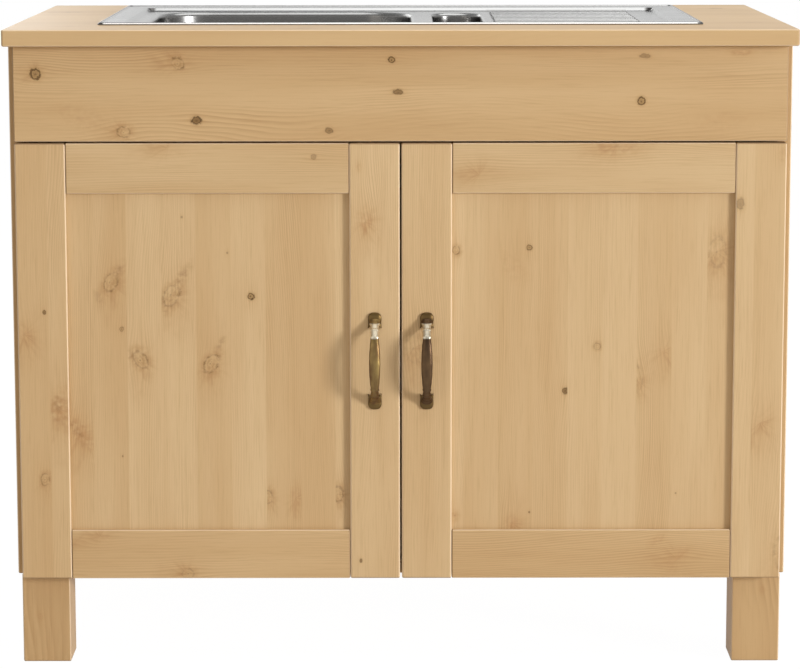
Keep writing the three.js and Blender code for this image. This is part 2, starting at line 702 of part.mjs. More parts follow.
function wasteBody() {
  const top = mainFloor + flangeThick;
  const collarTop = wasteEnd + waste.collarHeight;
  return turnedUpright([
    [waste.bore, top], [waste.flange - 1, top], [waste.flange, top - 0.6],
    [waste.flange, mainFloor + touchGap], [waste.outer, mainFloor + touchGap],
    [waste.outer, cupFloor - 2], [waste.pipe, cupFloor - 5], [waste.pipe, collarTop],
    [waste.collar, collarTop], [waste.collar, wasteEnd], [waste.pipeBore, wasteEnd],
    [waste.pipeBore, cupFloor], [waste.bore, cupFloor], [waste.bore, top],
  ], 18);
}

addPiece(sink, 'waste_body', wasteBody(), finishes.plastic, [...mainBowl.centre, 0]);

function wasteNutRing() {
  const inner = waste.outer + wasteNut.play;
  const outer = waste.outer + wasteNut.width;
  return turnedUpright([
    [inner, 0], [outer, 0], [outer, wasteNut.height], [inner, wasteNut.height], [inner, 0],
  ], 18);
}

const nutLevel = mainFloor - bowlSteel - touchGap - wasteNut.height;
addPiece(sink, 'waste_nut', wasteNutRing(), finishes.plastic, [...mainBowl.centre, nutLevel]);

// A cup of thin steel with a ring of holes and a lifting knob, turned from its section.
function strainerBasket() {
  const low = cupFloor + touchGap;
  const top = mainFloor + 0.6;
  const cup = turnedUpright([
    [0, low], [33, low], [35, low + 3], [38.2, top - 4], [39.4, top - 1], [39.4, top],
    [38.2, top], [36.8, top - 5], [33.8, low + 4], [32.2, low + 1.2], [3, low + 1.2],
    [3, low + 20], [7, low + 23], [7, low + 26], [5, low + 28], [0, low + 28.6],
  ], 15);
  const holes = [];
  for (let i = 0; i < basket.holes; i++) {
    const angle = i / basket.holes * 2 * Math.PI;
    const centre = [basket.holeRing * Math.cos(angle), basket.holeRing * Math.sin(angle)];
    holes.push(rod('z', basket.holeRadius, low - 1, low + 2.5, centre, 6));
  }
  return joinAndCut([cup], holes);
}

addPiece(sink, 'strainer_basket', strainerBasket(), finishes.steel, [...mainBowl.centre, 0]);

function halfBowlWaste() {
  const top = halfFloor + flangeThick;
  const under = halfFloor + touchGap;
  return turnedUpright([
    [smallWaste.bore, top], [smallWaste.flange, top], [smallWaste.flange, under],
    [smallWaste.outer, under], [smallWaste.outer, smallWasteEnd], [smallWaste.bore, smallWasteEnd],
    [smallWaste.bore, top],
  ], 16);
}

addPiece(sink, 'half_bowl_waste', halfBowlWaste(), finishes.plastic, [...halfBowl.centre, 0]);

// Head of the overflow through the main bowl's rear wall, with a spigot for its pipe behind.
const overflowPipeY = mainRearY + overflow.reach / 2;

function overflowHead() {
  const wallY = mainRearY - mainBowl.draft * overflow.drop / mainBowl.fall;
  const seat = wallY - 1.4;
  const face = seat - overflow.roseThick;
  const bodyFront = wallY + 4;
  const bodyBack = wallY + overflow.reach;
  const head = turned([
    [overflow.bore, face], [overflow.rose - 1, face], [overflow.rose, face + 1],
    [overflow.rose, seat], [overflow.stem, seat], [overflow.stem, bodyFront],
    [overflow.body, bodyFront], [overflow.body, bodyBack], [0, bodyBack],
    [0, bodyBack - 3], [overflow.bore, bodyBack - 3], [overflow.bore, face],
  ], 16);
  const spigotEnd = -overflow.body - overflow.spigot;
  const spigot = rod('z', overflowPipe.radius, spigotEnd, -overflow.body + 3, [0, overflowPipeY], 12);
  return joinAndCut([head, spigot]);
}

addPiece(sink, 'overflow_head', overflowHead(), finishes.plastic, [mainBowl.centre[0], 0, overflowLevel]);

// A pipe along straight stretches with rounded bends between them.
function pipe(points, radius, bore, bend, steps) {
  const path = new THREE.CurvePath();
  let from = points[0];
  const towards = (corner, other) =>
    corner.clone().addScaledVector(other.clone().sub(corner).normalize(), bend);
  for (let i = 1; i + 1 < points.length; i++) {
    const before = towards(points[i], points[i - 1]);
    const after = towards(points[i], points[i + 1]);
    path.add(new THREE.LineCurve3(from, before));
    path.add(new THREE.QuadraticBezierCurve3(before, points[i], after));
    from = after;
  }
  path.add(new THREE.LineCurve3(from, points[points.length - 1]));
  const circle = (size) => Array.from({ length: 8 }, (_, i) =>
    new THREE.Vector2(size * Math.cos(i * Math.PI / 4), size * Math.sin(i * Math.PI / 4)));
  const section = new THREE.Shape(circle(radius));
  section.holes.push(new THREE.Path(circle(bore)));
  return new THREE.ExtrudeGeometry(section, { steps, extrudePath: path });
}

const [wasteX, wasteY] = mainBowl.centre;
const overflowEnd = mainFloor - overflowPipe.belowFloor;

addPiece(sink, 'overflow_pipe', pipe([
  new THREE.Vector3(wasteX, overflowPipeY, overflowLevel - overflow.body - overflow.spigot - touchGap),
  new THREE.Vector3(wasteX, overflowPipeY, overflowEnd),
  new THREE.Vector3(wasteX, wasteY + waste.outer + pipeEndGap, overflowEnd),
], overflowPipe.radius, overflowPipe.bore, overflowPipe.bend, 12), finishes.plastic);

addPiece(sink, 'link_pipe', pipe([
  new THREE.Vector3(halfBowl.centre[0], wasteY, smallWasteEnd - touchGap),
  new THREE.Vector3(halfBowl.centre[0], wasteY, linkLevel),
  new THREE.Vector3(wasteX + waste.pipe + pipeEndGap, wasteY, linkLevel),
], linkPipe.radius, linkPipe.bore, linkPipe.bend, 11), finishes.plastic);

export default cabinet;
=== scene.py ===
import math

import bmesh
import bpy
from mathutils import Matrix, Vector


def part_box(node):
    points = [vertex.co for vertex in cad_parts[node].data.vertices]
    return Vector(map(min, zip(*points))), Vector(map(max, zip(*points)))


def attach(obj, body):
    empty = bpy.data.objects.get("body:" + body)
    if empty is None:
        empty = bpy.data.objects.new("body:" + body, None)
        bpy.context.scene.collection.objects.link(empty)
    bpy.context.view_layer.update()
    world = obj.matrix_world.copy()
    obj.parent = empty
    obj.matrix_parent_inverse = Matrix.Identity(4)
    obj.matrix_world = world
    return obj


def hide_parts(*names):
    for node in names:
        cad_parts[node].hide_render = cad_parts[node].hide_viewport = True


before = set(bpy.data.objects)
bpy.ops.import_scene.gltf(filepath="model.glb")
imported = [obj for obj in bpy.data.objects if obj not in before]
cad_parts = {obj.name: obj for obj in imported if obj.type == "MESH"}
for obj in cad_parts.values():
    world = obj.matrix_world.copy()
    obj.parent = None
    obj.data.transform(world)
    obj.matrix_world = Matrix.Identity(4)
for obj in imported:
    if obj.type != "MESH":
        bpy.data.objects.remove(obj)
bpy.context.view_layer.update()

# Sink base cabinet in knotty pine. Sizes in the dictionaries are millimetres, Blender's are metres.
mm = 0.001
scene = bpy.context.scene
print("frame loaded with", len(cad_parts), "nodes")


# camera, light and floor

view = {
    "place": (-0.9, -4000, 1045),
    "pitch": 8.36,  # degrees down
    "roll": -0.062,
    "lens": 133.1,
    "shift": -0.06,
}


def link(name, data):
    thing = bpy.data.objects.new(name, data)
    scene.collection.objects.link(thing)
    return thing


def addCamera():
    data = bpy.data.cameras.new("photoCamera")
    data.lens, data.shift_y = view["lens"], view["shift"]
    data.clip_start, data.clip_end = 0.1, 100
    camera = link("photoCamera", data)
    turn = Matrix.Rotation(math.radians(90 - view["pitch"]), 4, "X")
    roll = Matrix.Rotation(math.radians(view["roll"]), 4, "Z")
    camera.matrix_world = Matrix.Translation(Vector(view["place"]) * mm) @ turn @ roll
    scene.camera = camera


lamps = {
    "keyFromRight": {"place": (8.32, -5.89, 2.1), "target": (0.05, -0.27, 0.45), "size": (2.0, 2.0),
                     "power": 735, "colour": (0.99, 1.0, 1.02)},
    "overhead": {"place": (0.4, -0.2, 2.7), "target": (0.1, 0.05, 0.8), "size": (3.0, 2.2), "power": 32},
    "frontFill": {"place": (-2.4, -3.2, 1.6), "target": (0, 0, 0.4), "size": (1.8, 1.8),
                  "power": 10, "colour": (1.0, 0.93, 0.84)},
    "rearFill": {"place": (-1.6, 3.0, 1.6), "target": (0, 0.2, 0.4), "size": (1.8, 1.8), "power": 17},
}


def addLamps():
    for name, lamp in lamps.items():
        data = bpy.data.lights.new(name, "AREA")
        data.shape = "RECTANGLE"
        data.size, data.size_y = lamp["size"]
        data.energy = lamp["power"]
        data.color = lamp.get("colour", (1, 1, 1))
        light = link(name, data)
        light.location = lamp["place"]
        aim = Vector(lamp["target"]) - Vector(lamp["place"])
        light.rotation_euler = aim.to_track_quat("-Z", "Y").to_euler()


# shader maths


class Flow:  # one socket of a material; its arithmetic adds Math nodes
    def __init__(self, tree, socket):
        self.tree = tree
        self.socket = socket

    def __add__(self, other):
        return self.tree.maths("ADD", self, other)

    def __sub__(self, other):
        return self.tree.maths("SUBTRACT", self, other)

    def __rsub__(self, other):
        return self.tree.maths("SUBTRACT", other, self)

    def __mul__(self, other):
        return self.tree.maths("MULTIPLY", self, other)

    def __truediv__(self, other):
        return self.tree.maths("DIVIDE", self, other)

    def __rtruediv__(self, other):
        return self.tree.maths("DIVIDE", other, self)

    def __pow__(self, other):
        return self.tree.maths("POWER", self, other)

    def __rpow__(self, other):
        return self.tree.maths("POWER", other, self)

    __radd__ = __add__
    __rmul__ = __mul__


class Tree:  # the nodes of a material or of the world
    def __init__(self, name, owner=None):
        self.owner = owner or bpy.data.materials.new(name)
        self.owner.use_nodes = True
        self.nodes = self.owner.node_tree.nodes
        self.links = self.owner.node_tree.links
        self.nodes.clear()

    def add(self, kind, settings=None, inputs=None, output=0):
        node = self.nodes.new(kind)
        for key, value in (settings or {}).items():
            if key == "stops":
                self.setStops(node.color_ramp, value)
            else:
                setattr(node, key, value)
        for key, value in (inputs or {}).items():
            socket = node.inputs[key]
            if isinstance(value, Flow):
                self.links.new(value.socket, socket)
            else:
                socket.default_value = (*value, 1) if socket.type == "RGBA" else value
        if not node.outputs:
            return None
        if output == "all":
            return [Flow(self, socket) for socket in node.outputs]
        return Flow(self, node.outputs[output])

    def setStops(self, ramp, stops):
        while len(ramp.elements) < len(stops):
            ramp.elements.new(1)
        for element, (position, colour) in zip(ramp.elements, stops):
            if isinstance(colour, float):
                colour = (colour, colour, colour)
            element.position = position
            element.color = (*colour, 1)[:4]

    def maths(self, operation, *values):
        return self.add("ShaderNodeMath", {"operation": operation}, dict(enumerate(values)))

    def clamp(self, value):
        return self.add("ShaderNodeClamp", {}, {0: value})

    def rise(self, value, start, gain):  # 0 at start, then up to 1; down from start where gain is negative
        return self.clamp((value - start) * gain)

    def vector(self, operation, *values):
        output = "Value" if operation in ("LENGTH", "DOT_PRODUCT") else 0
        return self.add("ShaderNodeVectorMath", {"operation": operation}, dict(enumerate(values)), output)

    def where(self, output="Object"):
        return self.add("ShaderNodeTexCoord", output=output)

    def split(self, vector):
        return self.add("ShaderNodeSeparateXYZ", {}, {0: vector}, "all")

    def join(self, x, y, z):
        return self.add("ShaderNodeCombineXYZ", {}, {0: x, 1: y, 2: z})

    def noise(self, place, detail=2.0, roughness=0.5, scale=1.0):
        inputs = {"Vector": place, "Scale": scale, "Detail": detail, "Roughness": roughness}
        return self.add("ShaderNodeTexNoise", {}, inputs)

    def mix(self, factor, first, second):
        return self.add("ShaderNodeMix", {"data_type": "RGBA"}, {0: factor, 6: first, 7: second}, 2)

    def ramp(self, value, stops, output=0):
        return self.add("ShaderNodeValToRGB", {"stops": stops}, {"Fac": value}, output)

    def bump(self, height, strength, distance):
        inputs = {"Height": height, "Strength": strength, "Distance": distance}
        return self.add("ShaderNodeBump", {}, inputs)

    def surface(self, **sockets):
        names = {key.replace("_", " "): value for key, value in sockets.items()}
        shader = self.add("ShaderNodeBsdfPrincipled", {}, names)
        self.add("ShaderNodeOutputMaterial", {}, {"Surface": shader})
        return self.owner


backdrop = {
    "light": 0.35, "lightColour": (1.0, 0.94, 0.87),
    "floor": (0.78, 0.74, 0.69), "floorHalf": 14.0, "floorWhite": 0.95, "floorGlow": 1.04,
    # what metal sees, from the horizon up
    "ceiling": [(0.0, 1.0), (0.3, 1.0), (0.6, 0.32), (0.82, 0.32), (1.0, 0.08)],
}


def seenDirectly(tree):  # 1 for camera, glossy and transmission rays
    named = {flow.socket.name: flow for flow in tree.add("ShaderNodeLightPath", output="all")}
    seen = tree.maths("MAXIMUM", named["Is Camera Ray"], named["Is Glossy Ray"])
    return tree.maths("MAXIMUM", seen, named["Is Transmission Ray"])


def addWorld():
    world = bpy.data.worlds.new("studio")
    scene.world = world
    sky = Tree("studio", world)
    direct = sky.add("ShaderNodeLightPath", output="Is Camera Ray")
    height = sky.split(sky.where("Generated"))[2]
    ceiling = sky.ramp(height, backdrop["ceiling"])
    colour = sky.mix(direct, ceiling, (1, 1, 1))
    light = {"Color": backdrop["lightColour"], "Strength": backdrop["light"]}
    lit = sky.add("ShaderNodeBackground", {}, light)
    white = sky.add("ShaderNodeBackground", {}, {"Color": colour, "Strength": 1.0})
    both = sky.add("ShaderNodeMixShader", {}, {0: seenDirectly(sky), 1: lit, 2: white})
    sky.add("ShaderNodeOutputWorld", {}, {"Surface": both})


def addFloor():
    half = backdrop["floorHalf"]
    corners = [(-half, -half, 0), (half, -half, 0), (half, half, 0), (-half, half, 0)]
    mesh = bpy.data.meshes.new("studioFloor")
    mesh.from_pydata(corners, [], [(0, 1, 2, 3)])
    floor = link("studioFloor", mesh)
    ground = Tree("studioFloor")
    seen = seenDirectly(ground) * backdrop["floorWhite"]
    dull = ground.add("ShaderNodeBsdfDiffuse", {}, {"Color": backdrop["floor"]})
    glow = ground.add("ShaderNodeEmission", {}, {"Color": (1, 1, 1), "Strength": backdrop["floorGlow"]})
    both = ground.add("ShaderNodeMixShader", {}, {0: seen, 1: dull, 2: glow})
    ground.add("ShaderNodeOutputMaterial", {}, {"Surface": both})
    mesh.materials.append(ground.owner)


addCamera()
addLamps()
addWorld()
addFloor()
scene.view_settings.view_transform = "Standard"
print("the studio is set")


# pine

pine = {
    "pale": (0.648, 0.454, 0.242), "warm": (0.558, 0.364, 0.176),
    "late": (0.375, 0.212, 0.083), "halo": (0.50, 0.292, 0.126),
    "bright": (0.76, 0.545, 0.305), "feather": (0.40, 0.215, 0.088),
    "edgeHighlight": (0.92, 0.76, 0.56), "edgeHighlightStrength": 0.6,  # painted highlight on rounded edges
    # end faces darker: partly real end grain, partly painted shade in the gaps between parts
    "endGrainAndShade": (0.27, 0.145, 0.05), "endGrainAndShadeStrength": 0.7,
    "ringWidth": 3.0, "lateStrength": 0.42, "earlyStrength": 0.26, "haloLines": 0.3,
    "streakStrength": 0.28, "dashStrength": 0.20, "fibreStrength": 0.10,
    "stripTone": 0.28, "stripShift": 0.5,  # how glued strips differ; metres between their rings
    "knotSize": 1.12, "knotLong": 4.6, "knotWide": 2.1,  # reach of a knot's bent grain, in radii
    "ragged": 0.24, "redness": 0.34, "roughness": 0.5,
}

# Noise in the wood: scales along and across the grain, detail, roughness, where it starts along the grain,
# and how much of the board's own shift is added along, across and inwards.
figure = {
    "tone": (1.6, 14, 2.0, 0.5, 0, (1, 0, 1)),
    "drift": (2.1, 6, 1.0, 0.5, 0, (0, 0, 1)),
    "dive": (2.6, 5, 1.0, 0.5, 40, (0, 0, 1)),
    "wave": (16, 70, 2.0, 0.5, 0, (0, 1, 0)),
    "strength": (5, 24, 2.0, 0.5, 0, (1, 0, 0)),
    "streak": (5, 420, 3.0, 0.6, 0, (0, 1, 0)),
    "dash": (22, 640, 2.0, 0.5, 0, (1, 0, 0)),
    "fibre": (70, 2400, 1.0, 0.5, 0, (1, 0, 0)),
    "redness": (3.2, 26, 2.0, 0.5, 7, (0, 0, 0)),
}

# One year's growth, and how far its lines wander.
growth = {
    "late": [(0.0, 0.0), (0.5, 0.1), (0.8, 0.6), (0.9, 1.0), (0.97, 0.4), (1.0, 0.0)],
    "early": [(0.0, 0.0), (0.14, 1.0), (0.36, 0.5), (0.6, 0.0)],
    "drift": 0.06, "dive": 0.05, "wave": 0.0024,  # metres
    "uneven": 2.4,  # years
}

# Looks of a knot from its middle (0) past its edge (0.5): position, colour and how much it covers.
knotLooks = {
    "dark": [
        (0.0, (0.06, 0.028, 0.008, 0.95)), (0.15, (0.17, 0.092, 0.03, 0.9)),
        (0.34, (0.22, 0.12, 0.04, 0.9)), (0.45, (0.06, 0.03, 0.01, 0.97)),
        (0.54, (0.24, 0.13, 0.045, 0.55)), (0.68, (0.46, 0.28, 0.11, 0.2)),
        (1.0, (0.48, 0.29, 0.125, 0.0)),
    ],
    "ring": [
        (0.0, (0.13, 0.068, 0.018, 0.9)), (0.15, (0.3, 0.175, 0.065, 0.8)),
        (0.34, (0.36, 0.22, 0.085, 0.8)), (0.43, (0.085, 0.042, 0.012, 0.97)),
        (0.52, (0.15, 0.078, 0.024, 0.85)), (0.64, (0.46, 0.28, 0.11, 0.35)),
        (1.0, (0.48, 0.29, 0.13, 0.0)),
    ],
    "pale": [
        (0.0, (0.1, 0.05, 0.02, 0.95)), (0.1, (0.6, 0.4, 0.19, 0.7)), (0.22, (0.34, 0.19, 0.075, 0.55)),
        (0.33, (0.53, 0.345, 0.155, 0.7)), (0.46, (0.19, 0.098, 0.036, 0.88)),
        (0.56, (0.42, 0.24, 0.095, 0.6)), (1.0, (0.5, 0.29, 0.13, 0.0)),
    ],
    "red": [
        (0.0, (0.34, 0.165, 0.065, 0.65)), (0.2, (0.5, 0.27, 0.115, 0.6)),
        (0.4, (0.42, 0.222, 0.092, 0.55)), (0.6, (0.5, 0.29, 0.125, 0.35)),
        (1.0, (0.5, 0.29, 0.125, 0.0)),
    ],
    "trace": [
        (0.0, (0.26, 0.14, 0.058, 0.8)), (0.35, (0.34, 0.19, 0.08, 0.6)), (0.7, (0.44, 0.26, 0.11, 0.3)),
        (1.0, (0.48, 0.28, 0.12, 0.0)),
    ],
}


# A knot is a row: place along and across the board, radius, look, how much it covers, how long it is
# along the grain, its turn in degrees and its halo.
def knotShape(along, side, radius, look="ring", cover=0.8, stretch=1.2, turn=0.0, halo=0.6):
    bend = 0.5
    if look == "trace":  # a dark mark that leaves the grain straight
        bend = halo = 0.0
    return {"along": along, "side": side, "radius": radius, "look": look, "cover": cover,
            "bend": bend, "stretch": stretch, "turn": turn, "halo": halo}


def pineFinish(name, grain, across, deep, seed, knots, strips, pith, look=pine):
    # grain, across and deep name the axes along the fibres, across the board and into it;
    # strips gives the width of the strips a board is glued from and the place of one joint
    tree = Tree(name)
    place = tree.where()
    axes = dict(zip("xyz", tree.split(place)))
    along, side, depth = axes[grain], axes[across], axes[deep]
    shift = seed * 1.731

    def woodNoise(kind, sideways=side):
        long, wide, detail, roughness, start, shifts = figure[kind]
        spot = [along * long, sideways * wide, depth * wide]
        if start:
            spot[0] = spot[0] + start
        spot = [flow + shift * times if times else flow for flow, times in zip(spot, shifts)]
        return tree.noise(tree.join(*spot), detail, roughness)

    tone = woodNoise("tone")
    ringSide = side
    if strips:  # each strip is from its own tree
        width, joint = strips
        number = tree.maths("FLOOR", side / (width * mm) - joint / width)
        inputs = {"W": number + shift}
        chance = tree.add("ShaderNodeTexWhiteNoise", {"noise_dimensions": "1D"}, inputs, "Color")
        first, second, third = tree.split(chance)
        ringSide = side + (first - 0.5) * look["stripShift"]
        tone = tone * (1 - look["stripTone"]) + third * look["stripTone"]

    flat = tree.join(along, side, 0.0)
    bent = ringSide
    halo = 0.0
    shapes = []
    for knot in [knotShape(*row) for row in knots]:
        spot = (knot["along"] * mm, knot["side"] * mm, 0.0)
        away = tree.vector("SUBTRACT", flat, spot)
        radius = knot["radius"] * look["knotSize"] * mm
        perReach = (1 / (radius * look["knotLong"]), 1 / (radius * look["knotWide"]), 0.0)
        reach = tree.vector("MULTIPLY", away, perReach)
        near = (1 / math.e) ** tree.vector("DOT_PRODUCT", reach, reach)
        inStrip = 1.0
        if strips:  # a knot ends at the joints of its strip
            inStrip = tree.maths("COMPARE", number, math.floor((knot["side"] - joint) / width), 0.5)
            near = near * inStrip
        if knot["bend"]:
            bent = bent - tree.split(away)[1] * near * knot["bend"]
        if knot["halo"]:
            halo = near * knot["halo"] + halo
        shapes.append(dict(knot, away=away, size=radius, near=near, inStrip=inStrip))

    drift, dive, wave = [(woodNoise(kind) - 0.5) * growth[kind] for kind in ("drift", "dive", "wave")]
    fromPith = tree.join(bent - pith[0] * mm + drift, depth - pith[1] * mm + dive, 0.0)
    fromPith = tree.vector("LENGTH", fromPith)
    years = (fromPith + wave) / (look["ringWidth"] * mm)
    uneven = tree.noise(tree.join(years * 0.23 + shift, 0.0, 0.0), 1.0)
    year = tree.maths("FRACT", years + uneven * growth["uneven"])
    late = tree.ramp(year, growth["late"])
    early = tree.ramp(year, growth["early"])
    strength = tree.rise(woodNoise("strength"), 0.38, 3.0) * look["lateStrength"]
    if strips:
        strength = strength * (second * 1.1 + 0.1)
    strength = strength + halo * look["haloLines"]
    streak, dash, fibre = [woodNoise(kind) for kind in ("streak", "dash", "fibre")]

    colour = tree.mix(tree.rise(tone, 0.32, 2.6), look["pale"], look["warm"])
    reddish = tree.rise(woodNoise("redness", ringSide), 0.5, 2.4) * look["redness"]
    colour = tree.mix(reddish, colour, look["halo"])
    lighter = early * strength * (look["earlyStrength"] / look["lateStrength"])
    colour = tree.mix(lighter, colour, look["bright"])
    colour = tree.mix(late * strength, colour, look["late"])
    dim = tree.rise(streak, 0.5, 2.2) * look["streakStrength"]
    dim = dim + tree.rise(dash, 0.54, 5) * look["dashStrength"] + (fibre - 0.5) * look["fibreStrength"]
    colour = tree.mix(tree.clamp(dim), colour, look["late"])
    if shapes:
        colour = tree.mix(halo * 0.22, colour, look["halo"])
        ragged = tree.noise(place, 3.0, 0.6, 290) - 0.5
        broken = tree.vector("MULTIPLY", place, (120.0, 95.0, 150.0))
        broken = tree.rise(tree.noise(broken), 0.30, 3.2)
    for shape in shapes:  # streaks that fan out round the larger knots, redder on one side
        if shape["radius"] < 4.5 or not shape["halo"]:
            continue
        away, near = shape["away"], shape["near"]
        bearing = tree.vector("NORMALIZE", away)
        outwards = tree.join(0.0, 0.0, tree.vector("LENGTH", away) * 45 + shape["along"])
        fan = tree.vector("MULTIPLY_ADD", bearing, (3.4, 3.4, 0.0), outwards)
        rays = tree.rise(tree.noise(fan), 0.46, 4)
        oneSide = tree.clamp(tree.vector("DOT_PRODUCT", bearing, (-0.5, 0.45, 0.0)) + 0.5)
        colour = tree.mix(near * oneSide * (look["redness"] * 0.8), colour, look["halo"])
        colour = tree.mix(near * rays * (oneSide + 0.25) * 0.42, colour, look["feather"])

    height = late * strength * -0.5 + streak * 0.35 + fibre * 0.3 - dim
    for shape in shapes:
        size, turned = shape["size"], shape["away"]
        if shape["turn"]:
            turned = tree.add("ShaderNodeVectorRotate", {"rotation_type": "Z_AXIS"},
                              {"Vector": turned, "Angle": math.radians(shape["turn"])})
        perWidth = (1 / (size * shape["stretch"] * 2), 1 / (size * 2), 0.0)
        out = tree.vector("LENGTH", tree.vector("MULTIPLY", turned, perWidth))
        lopsided = tree.vector("DOT_PRODUCT", turned, (0.0, -0.08 / size, 0.0))
        roughEdge = 2.4 if shape["look"] in ("ring", "dark") else 1.3
        out = out + lopsided + ragged * (look["ragged"] * roughEdge)
        tint, cover = tree.ramp(out, knotLooks[shape["look"]], "all")
        if shape["look"] in ("pale", "red", "trace"):
            cover = cover * broken
        colour = tree.mix(cover * shape["cover"] * shape["inStrip"], colour, tint)

    normal = dict(zip("xyz", tree.split(tree.where("Normal"))))
    facing = tree.maths("ABSOLUTE", normal[deep])
    # painted highlight along the rounded edges
    edgeHighlight = tree.rise(facing, 0.98, -6) * tree.rise(facing, 0.12, 6)
    # end faces darker: partly real end grain, partly painted shade in the gaps between parts
    end = tree.rise(tree.maths("ABSOLUTE", normal[grain]), 0.12, 3)
    colour = tree.mix(edgeHighlight * look["edgeHighlightStrength"], colour, look["edgeHighlight"])
    colour = tree.mix(end * look["endGrainAndShadeStrength"], colour, look["endGrainAndShade"])
    return tree.surface(
        Base_Color=colour, Roughness=look["roughness"] + (streak - 0.5) * 0.12, Specular_IOR_Level=0.25,
        Normal=tree.bump(height, 0.22, 0.0006))


# meshes


def newPiece(name, shell, finish, body, nodes):
    mesh = bpy.data.meshes.new(name)
    mesh.from_pydata([tuple(vertex) for vertex in shell.vertices], [], shell.faces)
    mesh.validate()
    mesh.update()
    mesh.polygons.foreach_set("use_smooth", [True] * len(mesh.polygons))
    piece = link(name, mesh)
    mesh.materials.append(finish)
    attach(piece, body)
    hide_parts(*nodes)
    return piece


softEdge = {"segments": 3, "angle": 35, "sharp": 50, "weight": 90}


def roundEdges(piece, width):
    bevel = piece.modifiers.new("softEdges", "BEVEL")
    bevel.width = width * mm
    bevel.segments = softEdge["segments"]
    bevel.limit_method = "ANGLE"
    bevel.angle_limit = math.radians(softEdge["angle"])
    bevel.harden_normals = True


def weigh(piece, sharp=softEdge["sharp"]):  # flat faces keep their own normals beside rounded edges
    piece.data.set_sharp_from_angle(angle=math.radians(sharp))
    step = piece.modifiers.new("flatNormals", "WEIGHTED_NORMAL")
    step.keep_sharp = True
    step.weight = softEdge["weight"]


class Shell:  # gathers vertices and faces
    def __init__(self):
        self.vertices = []
        self.faces = []

    def loft(self, loops, closed=False):  # gives the indices of the first and the last loop
        rings = []
        for loop in loops:
            start = len(self.vertices)
            self.vertices += loop
            rings.append(list(range(start, start + len(loop))))
        after = rings[1:] + rings[:1] if closed else rings[1:]
        for first, second in zip(rings, after):
            for i in range(len(first)):
                j = (i + 1) % len(first)
                self.faces.append([first[i], first[j], second[j], second[i]])
        return rings[0], rings[-1]

    def solid(self, loops):
        first, last = self.loft(loops)
        self.faces += [first[::-1], last]


def prism(outline, axis, low, high):  # outline in the other two axes, in the order x, y, z
    others = [i for i in range(3) if i != axis]
    loops = [[], []]
    for loop, level in zip(loops, (low, high)):
        for pair in outline:
            point = [level, level, level]
            point[others[0]], point[others[1]] = pair
            loop.append(point)
    shell = Shell()
    shell.solid(loops)
    return shell


def faceOutwards(piece):
    shape = bmesh.new()
    shape.from_mesh(piece.data)
    bmesh.ops.recalc_face_normals(shape, faces=shape.faces)
    shape.to_mesh(piece.data)
    shape.free()


def boardPiece(node, finish, body, ease):
    low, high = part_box(node)
    outline = [(low.x, low.y), (high.x, low.y), (high.x, high.y), (low.x, high.y)]
    piece = newPiece(node + "_board", prism(outline, 2, low.z, high.z), finish, body, [node])
    roundEdges(piece, ease)


def cutHoles(piece, holes):  # from front to back: radius, centre, from, to
    cutters = []
    sides = 48
    for radius, centre, start, end in holes:
        ring = [(centre[0] + radius * math.cos(math.tau * i / sides),
                 centre[1] + radius * math.sin(math.tau * i / sides)) for i in range(sides)]
        shell = prism(ring, 1, start, end)
        mesh = bpy.data.meshes.new("cutter")
        mesh.from_pydata(shell.vertices, [], shell.faces)
        cutter = link("cutter", mesh)
        faceOutwards(cutter)
        cutters.append(cutter)
        step = piece.modifiers.new("hole", "BOOLEAN")
        step.operation = "DIFFERENCE"
        step.solver = "EXACT"
        step.object = cutter
    bpy.context.view_layer.update()
    shaped = piece.evaluated_get(bpy.context.evaluated_depsgraph_get())
    mesh = bpy.data.meshes.new_from_object(shaped)
    piece.modifiers.clear()
    piece.data = mesh
    for cutter in cutters:
        bpy.data.objects.remove(cutter)


print("shading and mesh helpers are ready")


# worktop

worktop = {
    "ease": 1.6, "corner": 3.0,
    "cutOut": (760, 415, 20), "cutOutY": 26,  # width, depth, corner
    "seed": 3, "strips": (118.0, 33.0), "pith": (0.0, 700.0),
    "knots": [
        (-120, -262, 5, "pale", 0.5), (236, 268, 6, "pale", 0.5), (-455, 120, 7, "pale", 0.5),
        (448, 205, 6, "ring", 0.45), (462, -140, 5, "pale", 0.4), (-418, -210, 6, "pale", 0.4),
    ],
    "look": dict(pine, pale=(0.655, 0.459, 0.242), warm=(0.589, 0.396, 0.198), late=(0.47, 0.285, 0.125),
                 lateStrength=0.2, earlyStrength=0.1, streakStrength=0.08, dashStrength=0.1,
                 endGrainAndShadeStrength=0.25, roughness=0.42),
}


def roundedLoop(width, depth, corner, level, centre=(0, 0), steps=8):
    points = []
    for quarter in range(4):
        signX = 1 if quarter in (0, 3) else -1
        signY = 1 if quarter < 2 else -1
        for step in range(steps + 1):
            angle = (quarter + step / steps) * math.pi / 2
            x = centre[0] + signX * (width / 2 - corner) + corner * math.cos(angle)
            y = centre[1] + signY * (depth / 2 - corner) + corner * math.sin(angle)
            points.append(Vector((x, y, level)) * mm)
    return points


